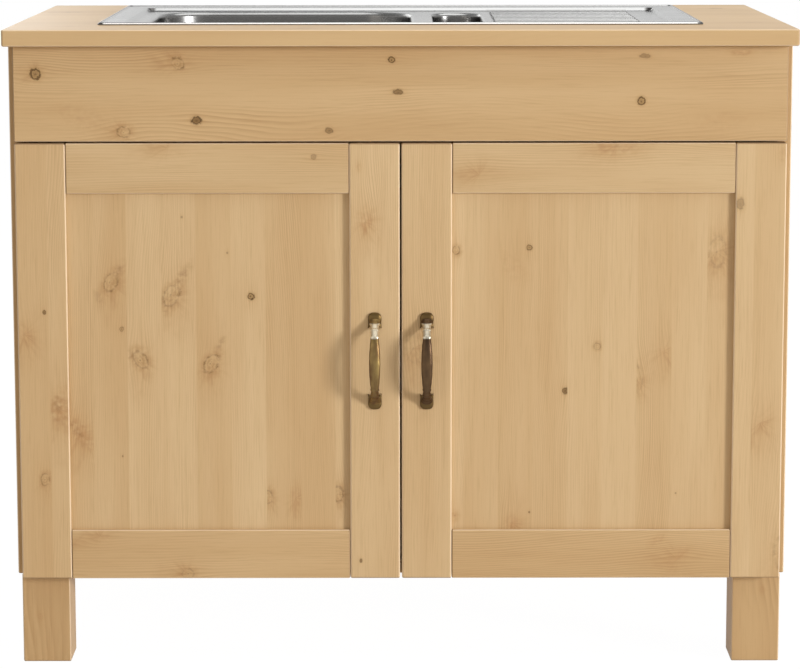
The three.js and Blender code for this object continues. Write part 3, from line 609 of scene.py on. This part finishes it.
def addWorktop():
    low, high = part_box("worktop")
    middle = (low + high) / 2 / mm
    width, depth = (high.x - low.x) / mm, (high.y - low.y) / mm
    bottom, top = low.z / mm, high.z / mm
    ease, corner = worktop["ease"], worktop["corner"]

    def outline(inset, level):
        return roundedLoop(width - 2 * inset, depth - 2 * inset, corner - inset * 0.5, level, middle)

    profile = [(0, bottom + ease)]
    for step in range(4):
        angle = step / 3 * math.pi / 2
        profile.append((ease * (1 - math.cos(angle)), top - ease + ease * math.sin(angle)))
    rings = [outline(inset, level) for inset, level in profile]
    rings += [roundedLoop(*worktop["cutOut"], level, (0, worktop["cutOutY"])) for level in (top, bottom)]
    rings.append(outline(ease, bottom))
    shell = Shell()
    shell.loft(rings, True)
    finish = pineFinish("pineWorktop", "x", "y", "z", worktop["seed"], worktop["knots"],
                        worktop["strips"], worktop["pith"], worktop["look"])
    piece = newPiece("worktop_board", shell, finish, "cabinet", ["worktop"])
    faceOutwards(piece)
    weigh(piece)


addWorktop()
print("worktop is made")


# carcase boards

apron = {
    "ease": 1.5, "pith": (610.0, -150.0),
    "knots": [
        (-461, 768, 5.6, "ring", 1.0, 1.1, 60), (-281, 781, 6.5, "pale", 0.95, 1.25, 40),
        (-258, 709, 4.4, "dark", 1.0, 1.25), (-350, 694, 6.2, "pale", 0.9, 1.25),
        (-90, 696, 3.4, "dark", 0.7), (-11.5, 785.4, 3.2, "ring", 1.0, 1.15),
        (-3, 744.8, 2.8, "dark", 0.9, 2.0), (308, 790, 2.4, "dark", 0.55, 2.2),
        (304, 732.8, 4.0, "ring", 1.0, 1.0), (429, 794.5, 3.0, "red", 0.8, 3.5),
        (-405, 712, 11, "red", 0.3, 2.5, 20, 0), (400, 705, 10, "red", 0.2, 3, 0.0, 0),
    ],
}

sideKnots = [
    (640, 150, 7, "pale"), (250, -120, 8, "ring", 0.7), (420, 235, 6, "dark", 0.6),
    (520, -20, 7, "pale", 0.7), (180, 60, 6, "red", 0.7), (730, -190, 6, "ring", 0.6),
]
flatKnots = [
    (-320, -90, 7, "pale"), (150, 110, 8, "ring", 0.7), (340, -170, 6, "dark", 0.6),
    (-60, 220, 7, "pale", 0.7),
]
# axes along, across and into each board, seed, knots, strips and pith
carcase = {
    "front_rail": ("x", "z", "y", 21, (), None, (640.0, 60.0)),
    "rear_rail": ("x", "z", "y", 22, (), None, (700.0, 420.0)),
    "bottom_panel": ("x", "y", "z", 23, flatKnots, (96.0, 8.0), (0.0, 30.0)),
    "shelf": ("x", "y", "z", 24, flatKnots, (96.0, 20.0), (0.0, 250.0)),
    "side_panel_left": ("z", "y", "x", 25, sideKnots, (92.0, 12.0), (0.0, -600.0)),
    "side_panel_right": ("z", "y", "x", 26, sideKnots, (92.0, -20.0), (0.0, 600.0)),
}


def setFinish(node, finish):
    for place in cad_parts[node].material_slots:
        place.material = finish


for node, board in carcase.items():
    setFinish(node, pineFinish(node + "_pine", *board))
apronFinish = pineFinish("apronPine", "x", "z", "y", 5, apron["knots"], None, apron["pith"])
boardPiece("apron_panel", apronFinish, "cabinet", apron["ease"])

# darker copy of pine: painted shade on the legs under the cabinet
legShadePine = dict(pine, pale=(0.585, 0.390, 0.193), warm=(0.52, 0.325, 0.152))
legs = {
    "leg_front_left": (31, [(60, -470, 3, "red", 0.5)], legShadePine),
    "leg_front_right": (32, [(95, 470, 3, "red", 0.4)], legShadePine),
    "leg_rear_left": (33, [(50, -450, 5, "ring", 0.6)], pine),
    "leg_rear_right": (34, [], legShadePine),
}
legEase = 2.0
legPith = (380.0, 40.0)
for node, (seed, knots, look) in legs.items():
    side = -1 if node.endswith("left") else 1
    pith = (side * legPith[0], legPith[1])
    finish = pineFinish(node + "_pine", "z", "x", "y", seed, knots, None, pith, look)
    boardPiece(node, finish, "cabinet", legEase)
print("carcase boards are dressed")


# doors

door = {
    "stile": 64, "grooveDepth": 8, "recess": 7, "panel": 8, "gap": 0.3, "thick": 20,
    "ease": 2.2, "railEase": 1.7, "panelEase": 0.6,
    "cupInset": 20.5, "cupRadius": 17.9, "cupDepth": 12.8, "screwHole": 2.4,
    # width of the strips the wood is glued from, and where a joint lies
    "strip": 44.3, "stileJoint": 449, "panelJoint": {"left": -305.5, "right": 213.5},
    # from the middle of the tree: outer and inner stile, top and bottom rail, panel
    "stilePith": [(150.0, -330.0), (570.0, -330.0)], "railPith": [(300.0, -160.0), (-260.0, -160.0)],
    "panelPith": (-450.0, -130.0),
}

doorPine = dict(pine, pale=(0.688, 0.500, 0.280), warm=(0.600, 0.405, 0.206))
topRailPine = dict(doorPine, pale=(0.650, 0.468, 0.258), warm=(0.567, 0.380, 0.190))
panelPine = dict(doorPine, ringWidth=2.6, earlyStrength=0.24)

doorKnots = {
    "left_door_top_rail": [
        (-110, 662.7, 2.6, "dark", 0.45), (-294, 675, 8, "red", 0.22, 1.6),
    ],
    "left_door_outer_stile": [
        (464.7, -454.8, 1.8, "dark", 0.9), (436, -481, 8, "red", 0.5, 1.4, 30),
        (339, -438, 11, "red", 1.0, 1.5, 0.0, 0.8), (345, -441, 4, "trace", 0.7, 1.6),
        (247.2, -458, 5, "pale", 0.8, 1.5),
    ],
    "left_door_panel": [
        (502.8, -370.8, 7.6, "pale", 0.8, 1.6, -25), (485.4, -294, 8.5, "pale", 0.85, 1.6, -30),
        (484, -191.6, 3.6, "ring", 1.0, 1.0), (401.5, -334, 7.2, "pale", 0.85, 1.6, 35),
        (397.5, -243.6, 7.6, "pale", 0.9, 1.6, -35), (518, -360, 4, "trace", 0.8, 2.4, -30),
        (482, -386, 4, "trace", 0.4, 2.2, 20), (511, -279, 4.4, "trace", 0.75, 3.0, -32),
        (465, -301, 2, "trace", 0.7, 0.35), (423, -231, 3, "trace", 0.6, 3.2, -32),
        (408, -346, 4, "trace", 0.7, 1.6, 50), (310, -417, 4, "trace", 0.9, 2.6, 35),
        (586, -278.6, 1.0, "dark", 0.5), (540, -221, 1.0, "dark", 0.5), (441.7, -357, 2.2, "ring", 0.6),
        (276.4, -358, 0.8, "dark", 0.6), (305, -412, 9, "red", 0.8, 2.0, 30, 0.9),
        (222.3, -172.2, 5, "pale", 0.8, 1.7), (221, -136, 5, "red", 0.55, 2.4),
        (226, -82, 6, "pale", 0.7, 1.6),
    ],
    "left_door_inner_stile": [
        (580.8, -45.5, 7.5, "red", 0.75, 1.5), (650.7, -53.4, 2, "red", 0.6, 2.0),
        (139.9, -52, 1.6, "dark", 0.8, 1.5),
    ],
    "left_door_bottom_rail": [
        (-275, 122, 6, "pale", 0.6), (-388, 171.4, 5, "red", 0.35, 2.4), (-421, 161, 5, "red", 0.3, 2.4),
    ],
    "right_door_top_rail": [
        (273, 677, 10, "red", 0.85, 2.4), (100, 640, 7, "red", 0.12, 4),
    ],
    "right_door_inner_stile": [(417.7, 16, 11, "pale", 0.25, 1.5)],
    "right_door_panel": [
        (543, 70, 4.2, "pale", 0.95), (546.4, 163.3, 2.9, "ring", 0.85, 1.0),
        (521, 141.8, 10, "red", 0.3, 1.6, 40, 0), (418.8, 250.8, 3.9, "pale", 0.85, 1.0),
        (361, 210.5, 3.4, "dark", 0.95, 1.1), (413, 336, 7, "red", 0.25, 0.5, 10),
        (541, 402, 10, "pale", 0.4, 1.8), (376, 302.4, 6, "pale", 0.35, 2.6), (202, 165.2, 0.9, "dark"),
        (198, 69, 4, "red"), (189, 142, 7, "red", 0.5), (227, 353.7, 0.8, "dark", 0.5),
    ],
    "right_door_outer_stile": [
        (603, 430, 4, "dark", 0.5, 1.6), (321, 461, 8, "red", 0.22, 2.0, -40),
        (150, 491, 11, "pale", 0.35, 1.8), (667.7, 482.5, 3, "red", 0.4, 3),
    ],
    "right_door_bottom_rail": [
        (331, 166.4, 4, "red", 0.5, 2.2, -40), (358, 141, 7, "red", 0.35, 2.4, -40),
    ],
}


def grooved(outer, inward, setBack):
    # section of a stile or rail: (across, back), back measured from the door's face
    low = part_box("left_door_outer_stile")[0].y / mm
    front, rear = door["recess"] - door["gap"], door["recess"] + door["panel"] + door["gap"]
    width, depth, thick = door["stile"], door["grooveDepth"], door["thick"]
    points = [(0, setBack), (width, setBack), (width, front), (width - depth, front),
              (width - depth, rear), (width, rear), (width, thick), (0, thick)]
    return [((outer + inward * across) * mm, (low + back) * mm) for across, back in points]


def addDoor(word, side, seed):
    body = word + "_door"
    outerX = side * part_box("right_door_outer_stile")[1].x / mm
    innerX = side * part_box("right_door_inner_stile")[0].x / mm
    low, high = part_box(word + "_door_outer_stile")
    bottom, top, back = low.z / mm, high.z / mm, high.y / mm
    stiles = [("outer_stile", outerX, -side), ("inner_stile", innerX, side)]
    for i, (kind, outer, inward) in enumerate(stiles):
        node = f"{word}_door_{kind}"
        strips = (door["strip"], side * door["stileJoint"]) if kind == "outer_stile" else None
        pithX, pithY = door["stilePith"][i]
        finish = pineFinish(node + "_pine", "z", "x", "y", seed + i, doorKnots.get(node, ()), strips,
                            (side * pithX, pithY), doorPine)
        shell = prism(grooved(outer, inward, 0), 2, bottom * mm, top * mm)
        piece = newPiece(node + "_board", shell, finish, body, [node])
        faceOutwards(piece)
        holes = []
        for end in ("lower", "upper"):
            if kind == "outer_stile":
                cupLow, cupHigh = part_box(f"{word}_hinge_cup_{end}")
                centre = ((outerX - side * door["cupInset"]) * mm, (cupLow.z + cupHigh.z) / 2)
                radius, start = door["cupRadius"], (back - door["cupDepth"]) * mm
            else:
                screwLow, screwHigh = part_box(f"{word}_handle_screw_{end}")
                centre = ((screwLow.x + screwHigh.x) / 2, (screwLow.z + screwHigh.z) / 2)
                radius, start = door["screwHole"], low.y - mm
            holes.append((radius * mm, centre, start, (back + 1) * mm))
        roundEdges(piece, door["ease"])
        cutHoles(piece, holes)
        weigh(piece, 40)
    for i, (kind, outer, inward) in enumerate([("top_rail", top, -1), ("bottom_rail", bottom, 1)]):
        node = f"{word}_door_{kind}"
        railLow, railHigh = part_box(node)
        finish = pineFinish(node + "_pine", "x", "z", "y", seed + 4 + i, doorKnots.get(node, ()), None,
                            door["railPith"][i], pine if i else topRailPine)
        section = [(y, z) for z, y in grooved(outer, inward, (railLow.y - low.y) / mm)]
        shell = prism(section, 0, railLow.x, railHigh.x)
        piece = newPiece(node + "_board", shell, finish, body, [node])
        faceOutwards(piece)
        roundEdges(piece, door["railEase"])
    node = f"{word}_door_panel"
    strips = (door["strip"], door["panelJoint"][word])
    pithX, pithY = door["panelPith"]
    finish = pineFinish(node + "_pine", "z", "x", "y", seed + 8, doorKnots[node], strips,
                        (side * pithX, pithY), panelPine)
    boardPiece(node, finish, body, door["panelEase"])


addDoor("left", -1, 41)
addDoor("right", 1, 61)
print("doors are built")


# fittings

# Words in the names of the CAD nodes that take each finish. The noises cloud and grain: scale across
# and up, detail, roughness. The roughness, and how far grain and cloud move it.
fittings = {
    "brightSteel": {"words": ["strainer_basket"], "metallic": 1.0,
                    "cloud": (9, 9, 2.0, 0.5), "grain": (500, 60, 2.0, 0.6),
                    "colours": [(0.60, 0.605, 0.60), (0.66, 0.66, 0.65)],
                    "rough": (0.08, 0.14, 0.06), "bump": (0.05, 0.0002)},
    "zincPlate": {"words": ["hinge", "clip", "pin_", "handle_screw"], "metallic": 1.0,
                  "cloud": (160, 160, 3.0, 0.5),
                  "colours": [(0.55, 0.56, 0.57), (0.68, 0.68, 0.66)],
                  "rough": (0.28, 0.0, 0.16), "bump": (0.05, 0.0002)},
    "whitePlastic": {"words": ["waste", "overflow", "link_pipe"],
                     "cloud": (14, 14, 2.0, 0.5), "grain": (900, 900, 2.0, 0.5),
                     "colours": [(0.74, 0.74, 0.725), (0.80, 0.80, 0.79)],
                     "rough": (0.38, 0.1, 0.0), "bump": (0.06, 0.0002)},
    "softGrey": {"words": ["sink_seal", "bumper"],
                 "cloud": (1500, 1500, 2.0, 0.5),
                 "colours": [(0.20, 0.20, 0.195), (0.30, 0.30, 0.29)],
                 "rough": (0.85, 0.0, 0.0), "bump": (0.2, 0.0003)},
    "backBoard": {"words": ["back_panel"],
                  "cloud": (16, 2.2, 3.0, 0.6), "grain": (260, 6, 2.0, 0.5),
                  "colours": [(0.58, 0.44, 0.27), (0.66, 0.50, 0.31)], "lines": (0.45, 0.31, 0.17),
                  "rough": (0.57, 0.1, 0.0), "bump": (0.12, 0.0003)},
}


def fittingFinish(name, look):
    tree = Tree(name)
    place = tree.where()

    def pattern(kind):
        across, up, detail, roughness = look[kind]
        scaled = tree.vector("MULTIPLY", place, (across, across, up))
        return tree.noise(scaled, detail, roughness)

    cloud = pattern("cloud")
    grain = pattern("grain") if "grain" in look else cloud
    colour = tree.mix(cloud, *look["colours"])
    if "lines" in look:
        colour = tree.mix((grain - 0.45) * 0.5, colour, look["lines"])
    rough, byGrain, byCloud = look["rough"]
    if byGrain:
        rough = rough + grain * byGrain
    if byCloud:
        rough = rough + cloud * byCloud
    return tree.surface(Base_Color=colour, Metallic=look.get("metallic", 0.0), Roughness=rough,
                        Normal=tree.bump(grain, *look["bump"]))


for name, look in fittings.items():
    finish = fittingFinish(name, look)
    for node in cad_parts:
        if any(word in node for word in look["words"]):
            setFinish(node, finish)
print("fittings have their finishes")


# handles

bronze = {
    "left": [(0.125, 0.070, 0.032), (0.270, 0.185, 0.068)],  # dark and worn
    "right": [(0.070, 0.042, 0.024), (0.120, 0.072, 0.036)],
    "foot": (0.120, 0.074, 0.027), "footOut": 6.0,
    # pale metal: real wear on edges and in patches, and a painted highlight on the upper neck
    "wearAndHighlight": (0.86, 0.79, 0.62),
    "middle": 401.5,
    # the painted highlight on the upper neck: heights of its ends from the handle's middle, and its
    # distance from the door
    "neck": (31, 50.5), "neckOut": 5.2,
}


def bronzeFinish(word):
    tree = Tree(word + "Bronze")
    dark, mid = bronze[word]
    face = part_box(word + "_door_outer_stile")[0].y
    place = tree.where()
    x, y, z = tree.split(place)
    worn = tree.noise(tree.vector("MULTIPLY", place, (75.0, 75.0, 30.0)), 3.0, 0.6)
    speck = tree.noise(place, scale=700)
    edge = tree.add("ShaderNodeNewGeometry", output="Pointiness")
    above = (z - bronze["middle"] * mm) / mm
    out = (face - y) / mm
    neckLow, neckHigh = bronze["neck"]
    # painted highlight on the upper neck, which faces the light above
    neck = tree.rise(above, neckLow, 0.4) * tree.rise(above, neckHigh, -0.8)
    neck = neck * tree.rise(out, bronze["neckOut"], 0.7)
    foot = tree.rise(out, bronze["footOut"], -0.8)
    # real wear on edges and in patches, plus the painted highlight on the upper neck
    wearAndHighlight = tree.clamp((edge - 0.55) * 6 + (worn - 0.6) * 0.4 + neck * 0.9)
    colour = tree.mix(tree.rise(worn, 0.36, 3.2), dark, mid)
    colour = tree.mix(foot * 0.8, colour, bronze["foot"])
    colour = tree.mix(wearAndHighlight, colour, bronze["wearAndHighlight"])
    return tree.surface(Base_Color=colour, Metallic=1.0, Roughness=0.40 + (speck - 0.5) * 0.12,
                        Normal=tree.bump(speck, 0.08, 0.0002))


handle = {
    # height from the middle and distance out from the door, for the upper half
    "line": [(51, 3.0), (47.5, 7.8), (41, 15.2), (32.5, 22), (19, 26), (0, 27.3)],
    # share of the way from the foot to the middle, width, thickness
    "sections": [(0.0, 15.6, 11.5), (0.07, 13.4, 9.6), (0.14, 10.8, 8.2), (0.24, 10.0, 7.4),
                 (0.265, 11.3, 8.4), (0.29, 10.1, 7.4), (0.40, 9.8, 7.1), (0.425, 11.5, 7.8),
                 (0.455, 10.5, 7.0), (0.62, 12.3, 7.1), (0.8, 13.9, 7.2), (1.0, 14.4, 7.25)],
    "clear": 0.35,  # nothing nearer to the door
    "footCentre": 52.6,
    # outline of the upper foot, half of it: across, up
    "foot": [(0, 10.1), (2.8, 9.9), (5.4, 9.1), (7.3, 7.4), (8.3, 5.0), (8.6, 2.2), (8.5, -1.2),
             (8.3, -4.8), (8.7, -8.2), (8.8, -10.4), (7.6, -9.2), (5.6, -8.2), (3.0, -7.8), (0, -7.7)],
    # share drawn in, distance out from the door
    "footSteps": [(0.0, 0.35), (0.0, 2.2), (0.06, 3.0), (0.17, 3.7), (0.38, 4.3), (0.66, 4.7)],
    "sides": 32, "squareness": 0.86,
}


def smoothPath(points, steps):  # a curve through the points, with its ends repeated
    ends = [points[0], *points, points[-1]]
    path = []
    for i in range(1, len(ends) - 2):
        a, b, c, d = (Vector(point) for point in ends[i - 1:i + 3])
        for step in range(steps):
            t = step / steps
            path.append(0.5 * (2 * b + (c - a) * t + (2 * a - 5 * b + 4 * c - d) * t ** 2
                               + (3 * b - a - 3 * c + d) * t ** 3))
    path.append(Vector(points[-1]))
    return path


def between(table, value):
    for first, second in zip(table, table[1:]):
        if value <= second[0]:
            part = (value - first[0]) / (second[0] - first[0])
            part = part * part * (3 - 2 * part)
            return [a + (b - a) * part for a, b in zip(first[1:], second[1:])]
    return list(table[-1][1:])


def rounded(angle, size):  # a point of a section that is a little squarer than an ellipse
    value = math.cos(angle)
    return math.copysign(abs(value) ** handle["squareness"], value) * size / 2


def addHandle(word):
    low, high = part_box(word + "_handle")
    middleX, middleZ = (low.x + high.x) / 2, (low.z + high.z) / 2
    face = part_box(word + "_door_outer_stile")[0].y
    half = smoothPath([(height, out, 0) for height, out in handle["line"]], 12)
    line = half + [Vector((-point.x, point.y, 0)) for point in reversed(half[:-1])]
    lengths = [0.0]
    for a, b in zip(line, line[1:]):
        lengths.append(lengths[-1] + (b - a).length)
    whole = lengths[-1] / 2
    sides = handle["sides"]

    def place(across, out, height):
        return (middleX + across * mm, face - max(out, handle["clear"]) * mm, middleZ + height * mm)

    shell = Shell()
    loops = []
    for i, point in enumerate(line):
        before, after = line[max(i - 1, 0)], line[min(i + 1, len(line) - 1)]
        tangent = (after - before).normalized()
        outwards = Vector((tangent.y, -tangent.x, 0))
        width, thick = between(handle["sections"], 1 - abs(lengths[i] - whole) / whole)
        loop = []
        for j in range(sides):
            angle = math.tau * j / sides
            edge = point + outwards * rounded(angle - math.pi / 2, thick)
            loop.append(place(rounded(angle, width), edge.y, edge.x))
        loops.append(loop)
    shell.solid(loops)

    outline = smoothPath([(across, up, 0) for across, up in handle["foot"]], 3)
    outline = outline[:-1] + [Vector((-point.x, point.y, 0)) for point in reversed(outline[1:])]
    for end in (1, -1):
        loops = []
        for drawn, out in handle["footSteps"]:
            left = 1 - drawn
            loops.append([place(point.x * left, out, end * (handle["footCentre"] + point.y * left))
                          for point in outline])
        shell.solid(loops)
    piece = newPiece(word + "_bow_handle", shell, bronzeFinish(word), word + "_door",
                     [word + "_handle"])
    faceOutwards(piece)
    weigh(piece, 60)


addHandle("left")
addHandle("right")
print("handles are shaped")


# sink

sink = {
    "middle": (0, 26), "level": 825,
    "outer": (780, 435, 8), "beadWidth": 5, "beadTop": 3.3, "beadFoot": 0.35, "deck": 2.2,
    "recess": {"size": (716, 362, 14), "centre": (0, -12.5), "floor": -2.5,
               "steps": [(0, 2.2), (0.5, 2.1), (1.1, 1.7), (3.6, -1.2), (4.8, -2.1), (6.4, -2.5)]},
    "mainBowl": {"size": (346, 296, 70), "centre": (-159, -11.5), "fall": 150, "lip": 6, "round": 35,
                 "draft": 8, "outlet": 43.5, "seat": 57.5},
    "halfBowl": {"size": (66, 240, 32), "centre": (77, -11.5), "fall": 65, "lip": 5, "round": 5,
                 "draft": 3, "outlet": 17.5, "seat": 24},
    "ribs": {"count": 8, "pitch": 34, "length": 196, "start": 122, "width": 9,
             "steps": [(0, 0), (0.7, 0.35), (1.8, 1.2), (3.0, 1.6), (4.2, 1.7)]},
    "sheet": 0.95,
    "overflow": {"height": 789.5, "radius": 10},
}

sinkSteel = {
    # steel tones; upper and lower paint dark reflection and shade on the bowls' walls and floors
    "deck": (0.58, 0.583, 0.577), "upper": (0.15, 0.146, 0.14), "lower": (0.40, 0.40, 0.395),
    # the last colour paints dark reflections in the corners
    "cloud": (0.30, 0.30, 0.295), "rib": (0.50, 0.50, 0.49), "darkReflection": (0.05, 0.045, 0.04),
    "span": (764, 64),  # foot and height of the painted reflection ramp
    "levels": [(772, "lower"), (797, "upper"), (818.5, "upper"), (821.5, "deck")],
    "ribsFrom": 120, "ribsTo": 320, "ribsFoot": 822.7,
    # painted reflection on the bead from its foot up: dark worktop reflection and shade, a white
    # highlight, grey above
    "bead": [(0.0, (0.20, 0.14, 0.09)), (0.2, (0.20, 0.14, 0.09)), (0.34, (0.82, 0.79, 0.74)),
             (0.66, (0.82, 0.80, 0.77)), (0.8, (0.3, 0.295, 0.29))],
    # where the painted reflections on the bead, at the corners and at the recess ends begin
    "beadFrom": (385, 212.5), "cornerReach": 4,
    "recessEnd": (344, 184, 826.9),
}


def sinkFinish():
    tree = Tree("linenSteel")
    place = tree.where()
    x, y, z = tree.split(place)
    brushed = tree.noise(tree.join(x * 60, y * 900, z * 900), 2.0, 0.6)
    cloud = tree.noise(place, scale=14)
    # painted reflection and shade by height: darker on the bowls' walls and floors than on the deck
    bottom, span = sinkSteel["span"]
    stops = [((level - bottom) / span, sinkSteel[tone]) for level, tone in sinkSteel["levels"]]
    colour = tree.ramp((z - bottom * mm) / (span * mm), stops)
    colour = tree.mix(cloud * 0.15, colour, sinkSteel["cloud"])
    right, back, up = x / mm, y / mm, z / mm
    rib = tree.rise(right, sinkSteel["ribsFrom"], 0.5) * tree.rise(right, sinkSteel["ribsTo"], -0.5)
    rib = rib * tree.rise(up, sinkSteel["ribsFoot"], 2) * tree.rise(up, sink["level"], -2)
    colour = tree.mix(rib, colour, sinkSteel["rib"])
    across = tree.maths("ABSOLUTE", x) / mm
    ahead = tree.maths("ABSOLUTE", y - sink["middle"][1] * mm) / mm
    beadX, beadY = sinkSteel["beadFrom"]
    # painted reflection, shade and highlight on the bead round the rim
    bead = tree.clamp(tree.maths("MAXIMUM", across - beadX, ahead - beadY) * 2)
    beadReflectionTone = tree.ramp((up - sink["level"]) * 0.25, sinkSteel["bead"])
    colour = tree.mix(bead, colour, beadReflectionTone)
    # painted dark reflections at the ends of the recess and round the outer corners
    endX, endY, endZ = sinkSteel["recessEnd"]
    darkReflection = tree.rise(across, endX, 0.25) * tree.rise(back, endY, 0.25) * tree.rise(up, endZ, -4)
    reach = sinkSteel["cornerReach"]
    corner = tree.rise(across, beadX - reach, 0.4) * tree.rise(ahead, beadY - reach, 0.4)
    colour = tree.mix(tree.clamp(corner * 0.8 + darkReflection * 0.85), colour, sinkSteel["darkReflection"])
    return tree.surface(
        Base_Color=colour, Metallic=1.0, Roughness=0.25 + (brushed - 0.5) * 0.12 + (cloud - 0.5) * 0.08,
        Specular_Tint=(0.75, 0.75, 0.75), Normal=tree.bump(brushed, 0.04, 0.0002))


def sinkPoint(centre):
    return (sink["middle"][0] + centre[0], sink["middle"][1] + centre[1])


def sinkLoop(size, centre, inset, level):
    width, depth, corner = size
    return roundedLoop(width - 2 * inset, depth - 2 * inset, max(corner - inset, 1.5),
                       sink["level"] + level, sinkPoint(centre), 10)


def roundLoop(loop, centre, radius, level):  # the loop's points drawn to a circle, each on its own bearing
    middle = Vector(sinkPoint(centre)) * mm
    points = []
    for point in loop:
        away = (Vector((point.x, point.y)) - middle).normalized() * radius * mm
        points.append(Vector((middle.x + away.x, middle.y + away.y, (sink["level"] + level) * mm)))
    return points


def addBowl(shell, bowl):
    floor = sink["recess"]["floor"]
    size, centre, lip = bowl["size"], bowl["centre"], bowl["lip"]
    loops = []
    for step in range(6):
        angle = step / 5 * math.pi / 2
        level = floor - lip * (1 - math.cos(angle))
        loops.append(sinkLoop(size, centre, -lip * (1 - math.sin(angle)), level))
    bottom = floor - bowl["fall"]
    steps = 8
    for step in range(steps, -1, -1):
        angle = step / steps * math.pi / 2
        level = bottom + bowl["round"] * (1 - math.cos(angle))
        inset = bowl["round"] * (1 - math.sin(angle)) + bowl["draft"] * (floor - level) / bowl["fall"]
        loops.append(sinkLoop(size, centre, inset, level))
    last = loops[-1]
    seat = roundLoop(last, centre, bowl["seat"], bottom)
    for share in (0.33, 0.66):
        loops.append([a.lerp(b, share) for a, b in zip(last, seat)])
    loops.append(seat)
    loops.append(roundLoop(last, centre, bowl["outlet"], bottom))
    return shell.loft(loops)[0]


def addSink():
    shell = Shell()
    recess = sink["recess"]
    width = sink["beadWidth"]
    edge = sink["beadFoot"]  # above the worktop
    rise = sink["beadTop"] - (edge + sink["deck"]) / 2
    loops = []
    for step in range(11):
        angle = step / 10 * math.pi
        inset = width / 2 * (1 - math.cos(angle))
        level = edge + (sink["deck"] - edge) * step / 10 + rise * math.sin(angle)
        loops.append(sinkLoop(sink["outer"], (0, 0), inset, level))
    for inset, level in recess["steps"]:
        loops.append(sinkLoop(recess["size"], recess["centre"], inset, level))
    rings = [shell.loft(loops)[1], addBowl(shell, sink["mainBowl"]), addBowl(shell, sink["halfBowl"])]
    ribs = sink["ribs"]
    for i in range(ribs["count"]):
        centre = (ribs["start"] + ribs["length"] / 2,
                  recess["centre"][1] + (i - (ribs["count"] - 1) / 2) * ribs["pitch"])
        length, width = ribs["length"], ribs["width"]
        loops = [roundedLoop(length - 2 * inset, width - 2 * inset, width / 2 - 0.05 - inset,
                             sink["level"] + recess["floor"] + level, sinkPoint(centre), 5)
                 for inset, level in ribs["steps"]]
        foot, crown = shell.loft(loops)
        shell.faces.append(crown)
        rings.append(foot)
    piece = newPiece("sink_pressing", shell, sinkFinish(), "cabinet",
                     ["sink_deck", "main_bowl", "half_bowl"])
    fillFlat(piece, rings)
    solid = piece.modifiers.new("sheet", "SOLIDIFY")
    solid.thickness = sink["sheet"] * mm
    solid.offset = -1
    overflow = sink["overflow"]
    centreX = (sink["middle"][0] + sink["mainBowl"]["centre"][0]) * mm
    wallY = sink["middle"][1] + sink["mainBowl"]["centre"][1] + sink["mainBowl"]["size"][1] / 2
    cutHoles(piece, [(overflow["radius"] * mm, (centreX, overflow["height"] * mm),
                      (wallY - 12) * mm, (wallY + 10) * mm)])
    weigh(piece)


def fillFlat(piece, rings):
    shape = bmesh.new()
    shape.from_mesh(piece.data)
    shape.verts.ensure_lookup_table()
    edges = []
    for ring in rings:
        for i, index in enumerate(ring):
            after = ring[(i + 1) % len(ring)]
            edges.append(shape.edges.get((shape.verts[index], shape.verts[after])))
    bmesh.ops.triangle_fill(shape, use_beauty=True, use_dissolve=False, edges=edges)
    bmesh.ops.recalc_face_normals(shape, faces=shape.faces)
    if sum(face.normal.z * face.calc_area() for face in shape.faces) < 0:
        bmesh.ops.reverse_faces(shape, faces=shape.faces)
    for face in shape.faces:
        face.smooth = True
    shape.to_mesh(piece.data)
    shape.free()


addSink()
print("sink is pressed")
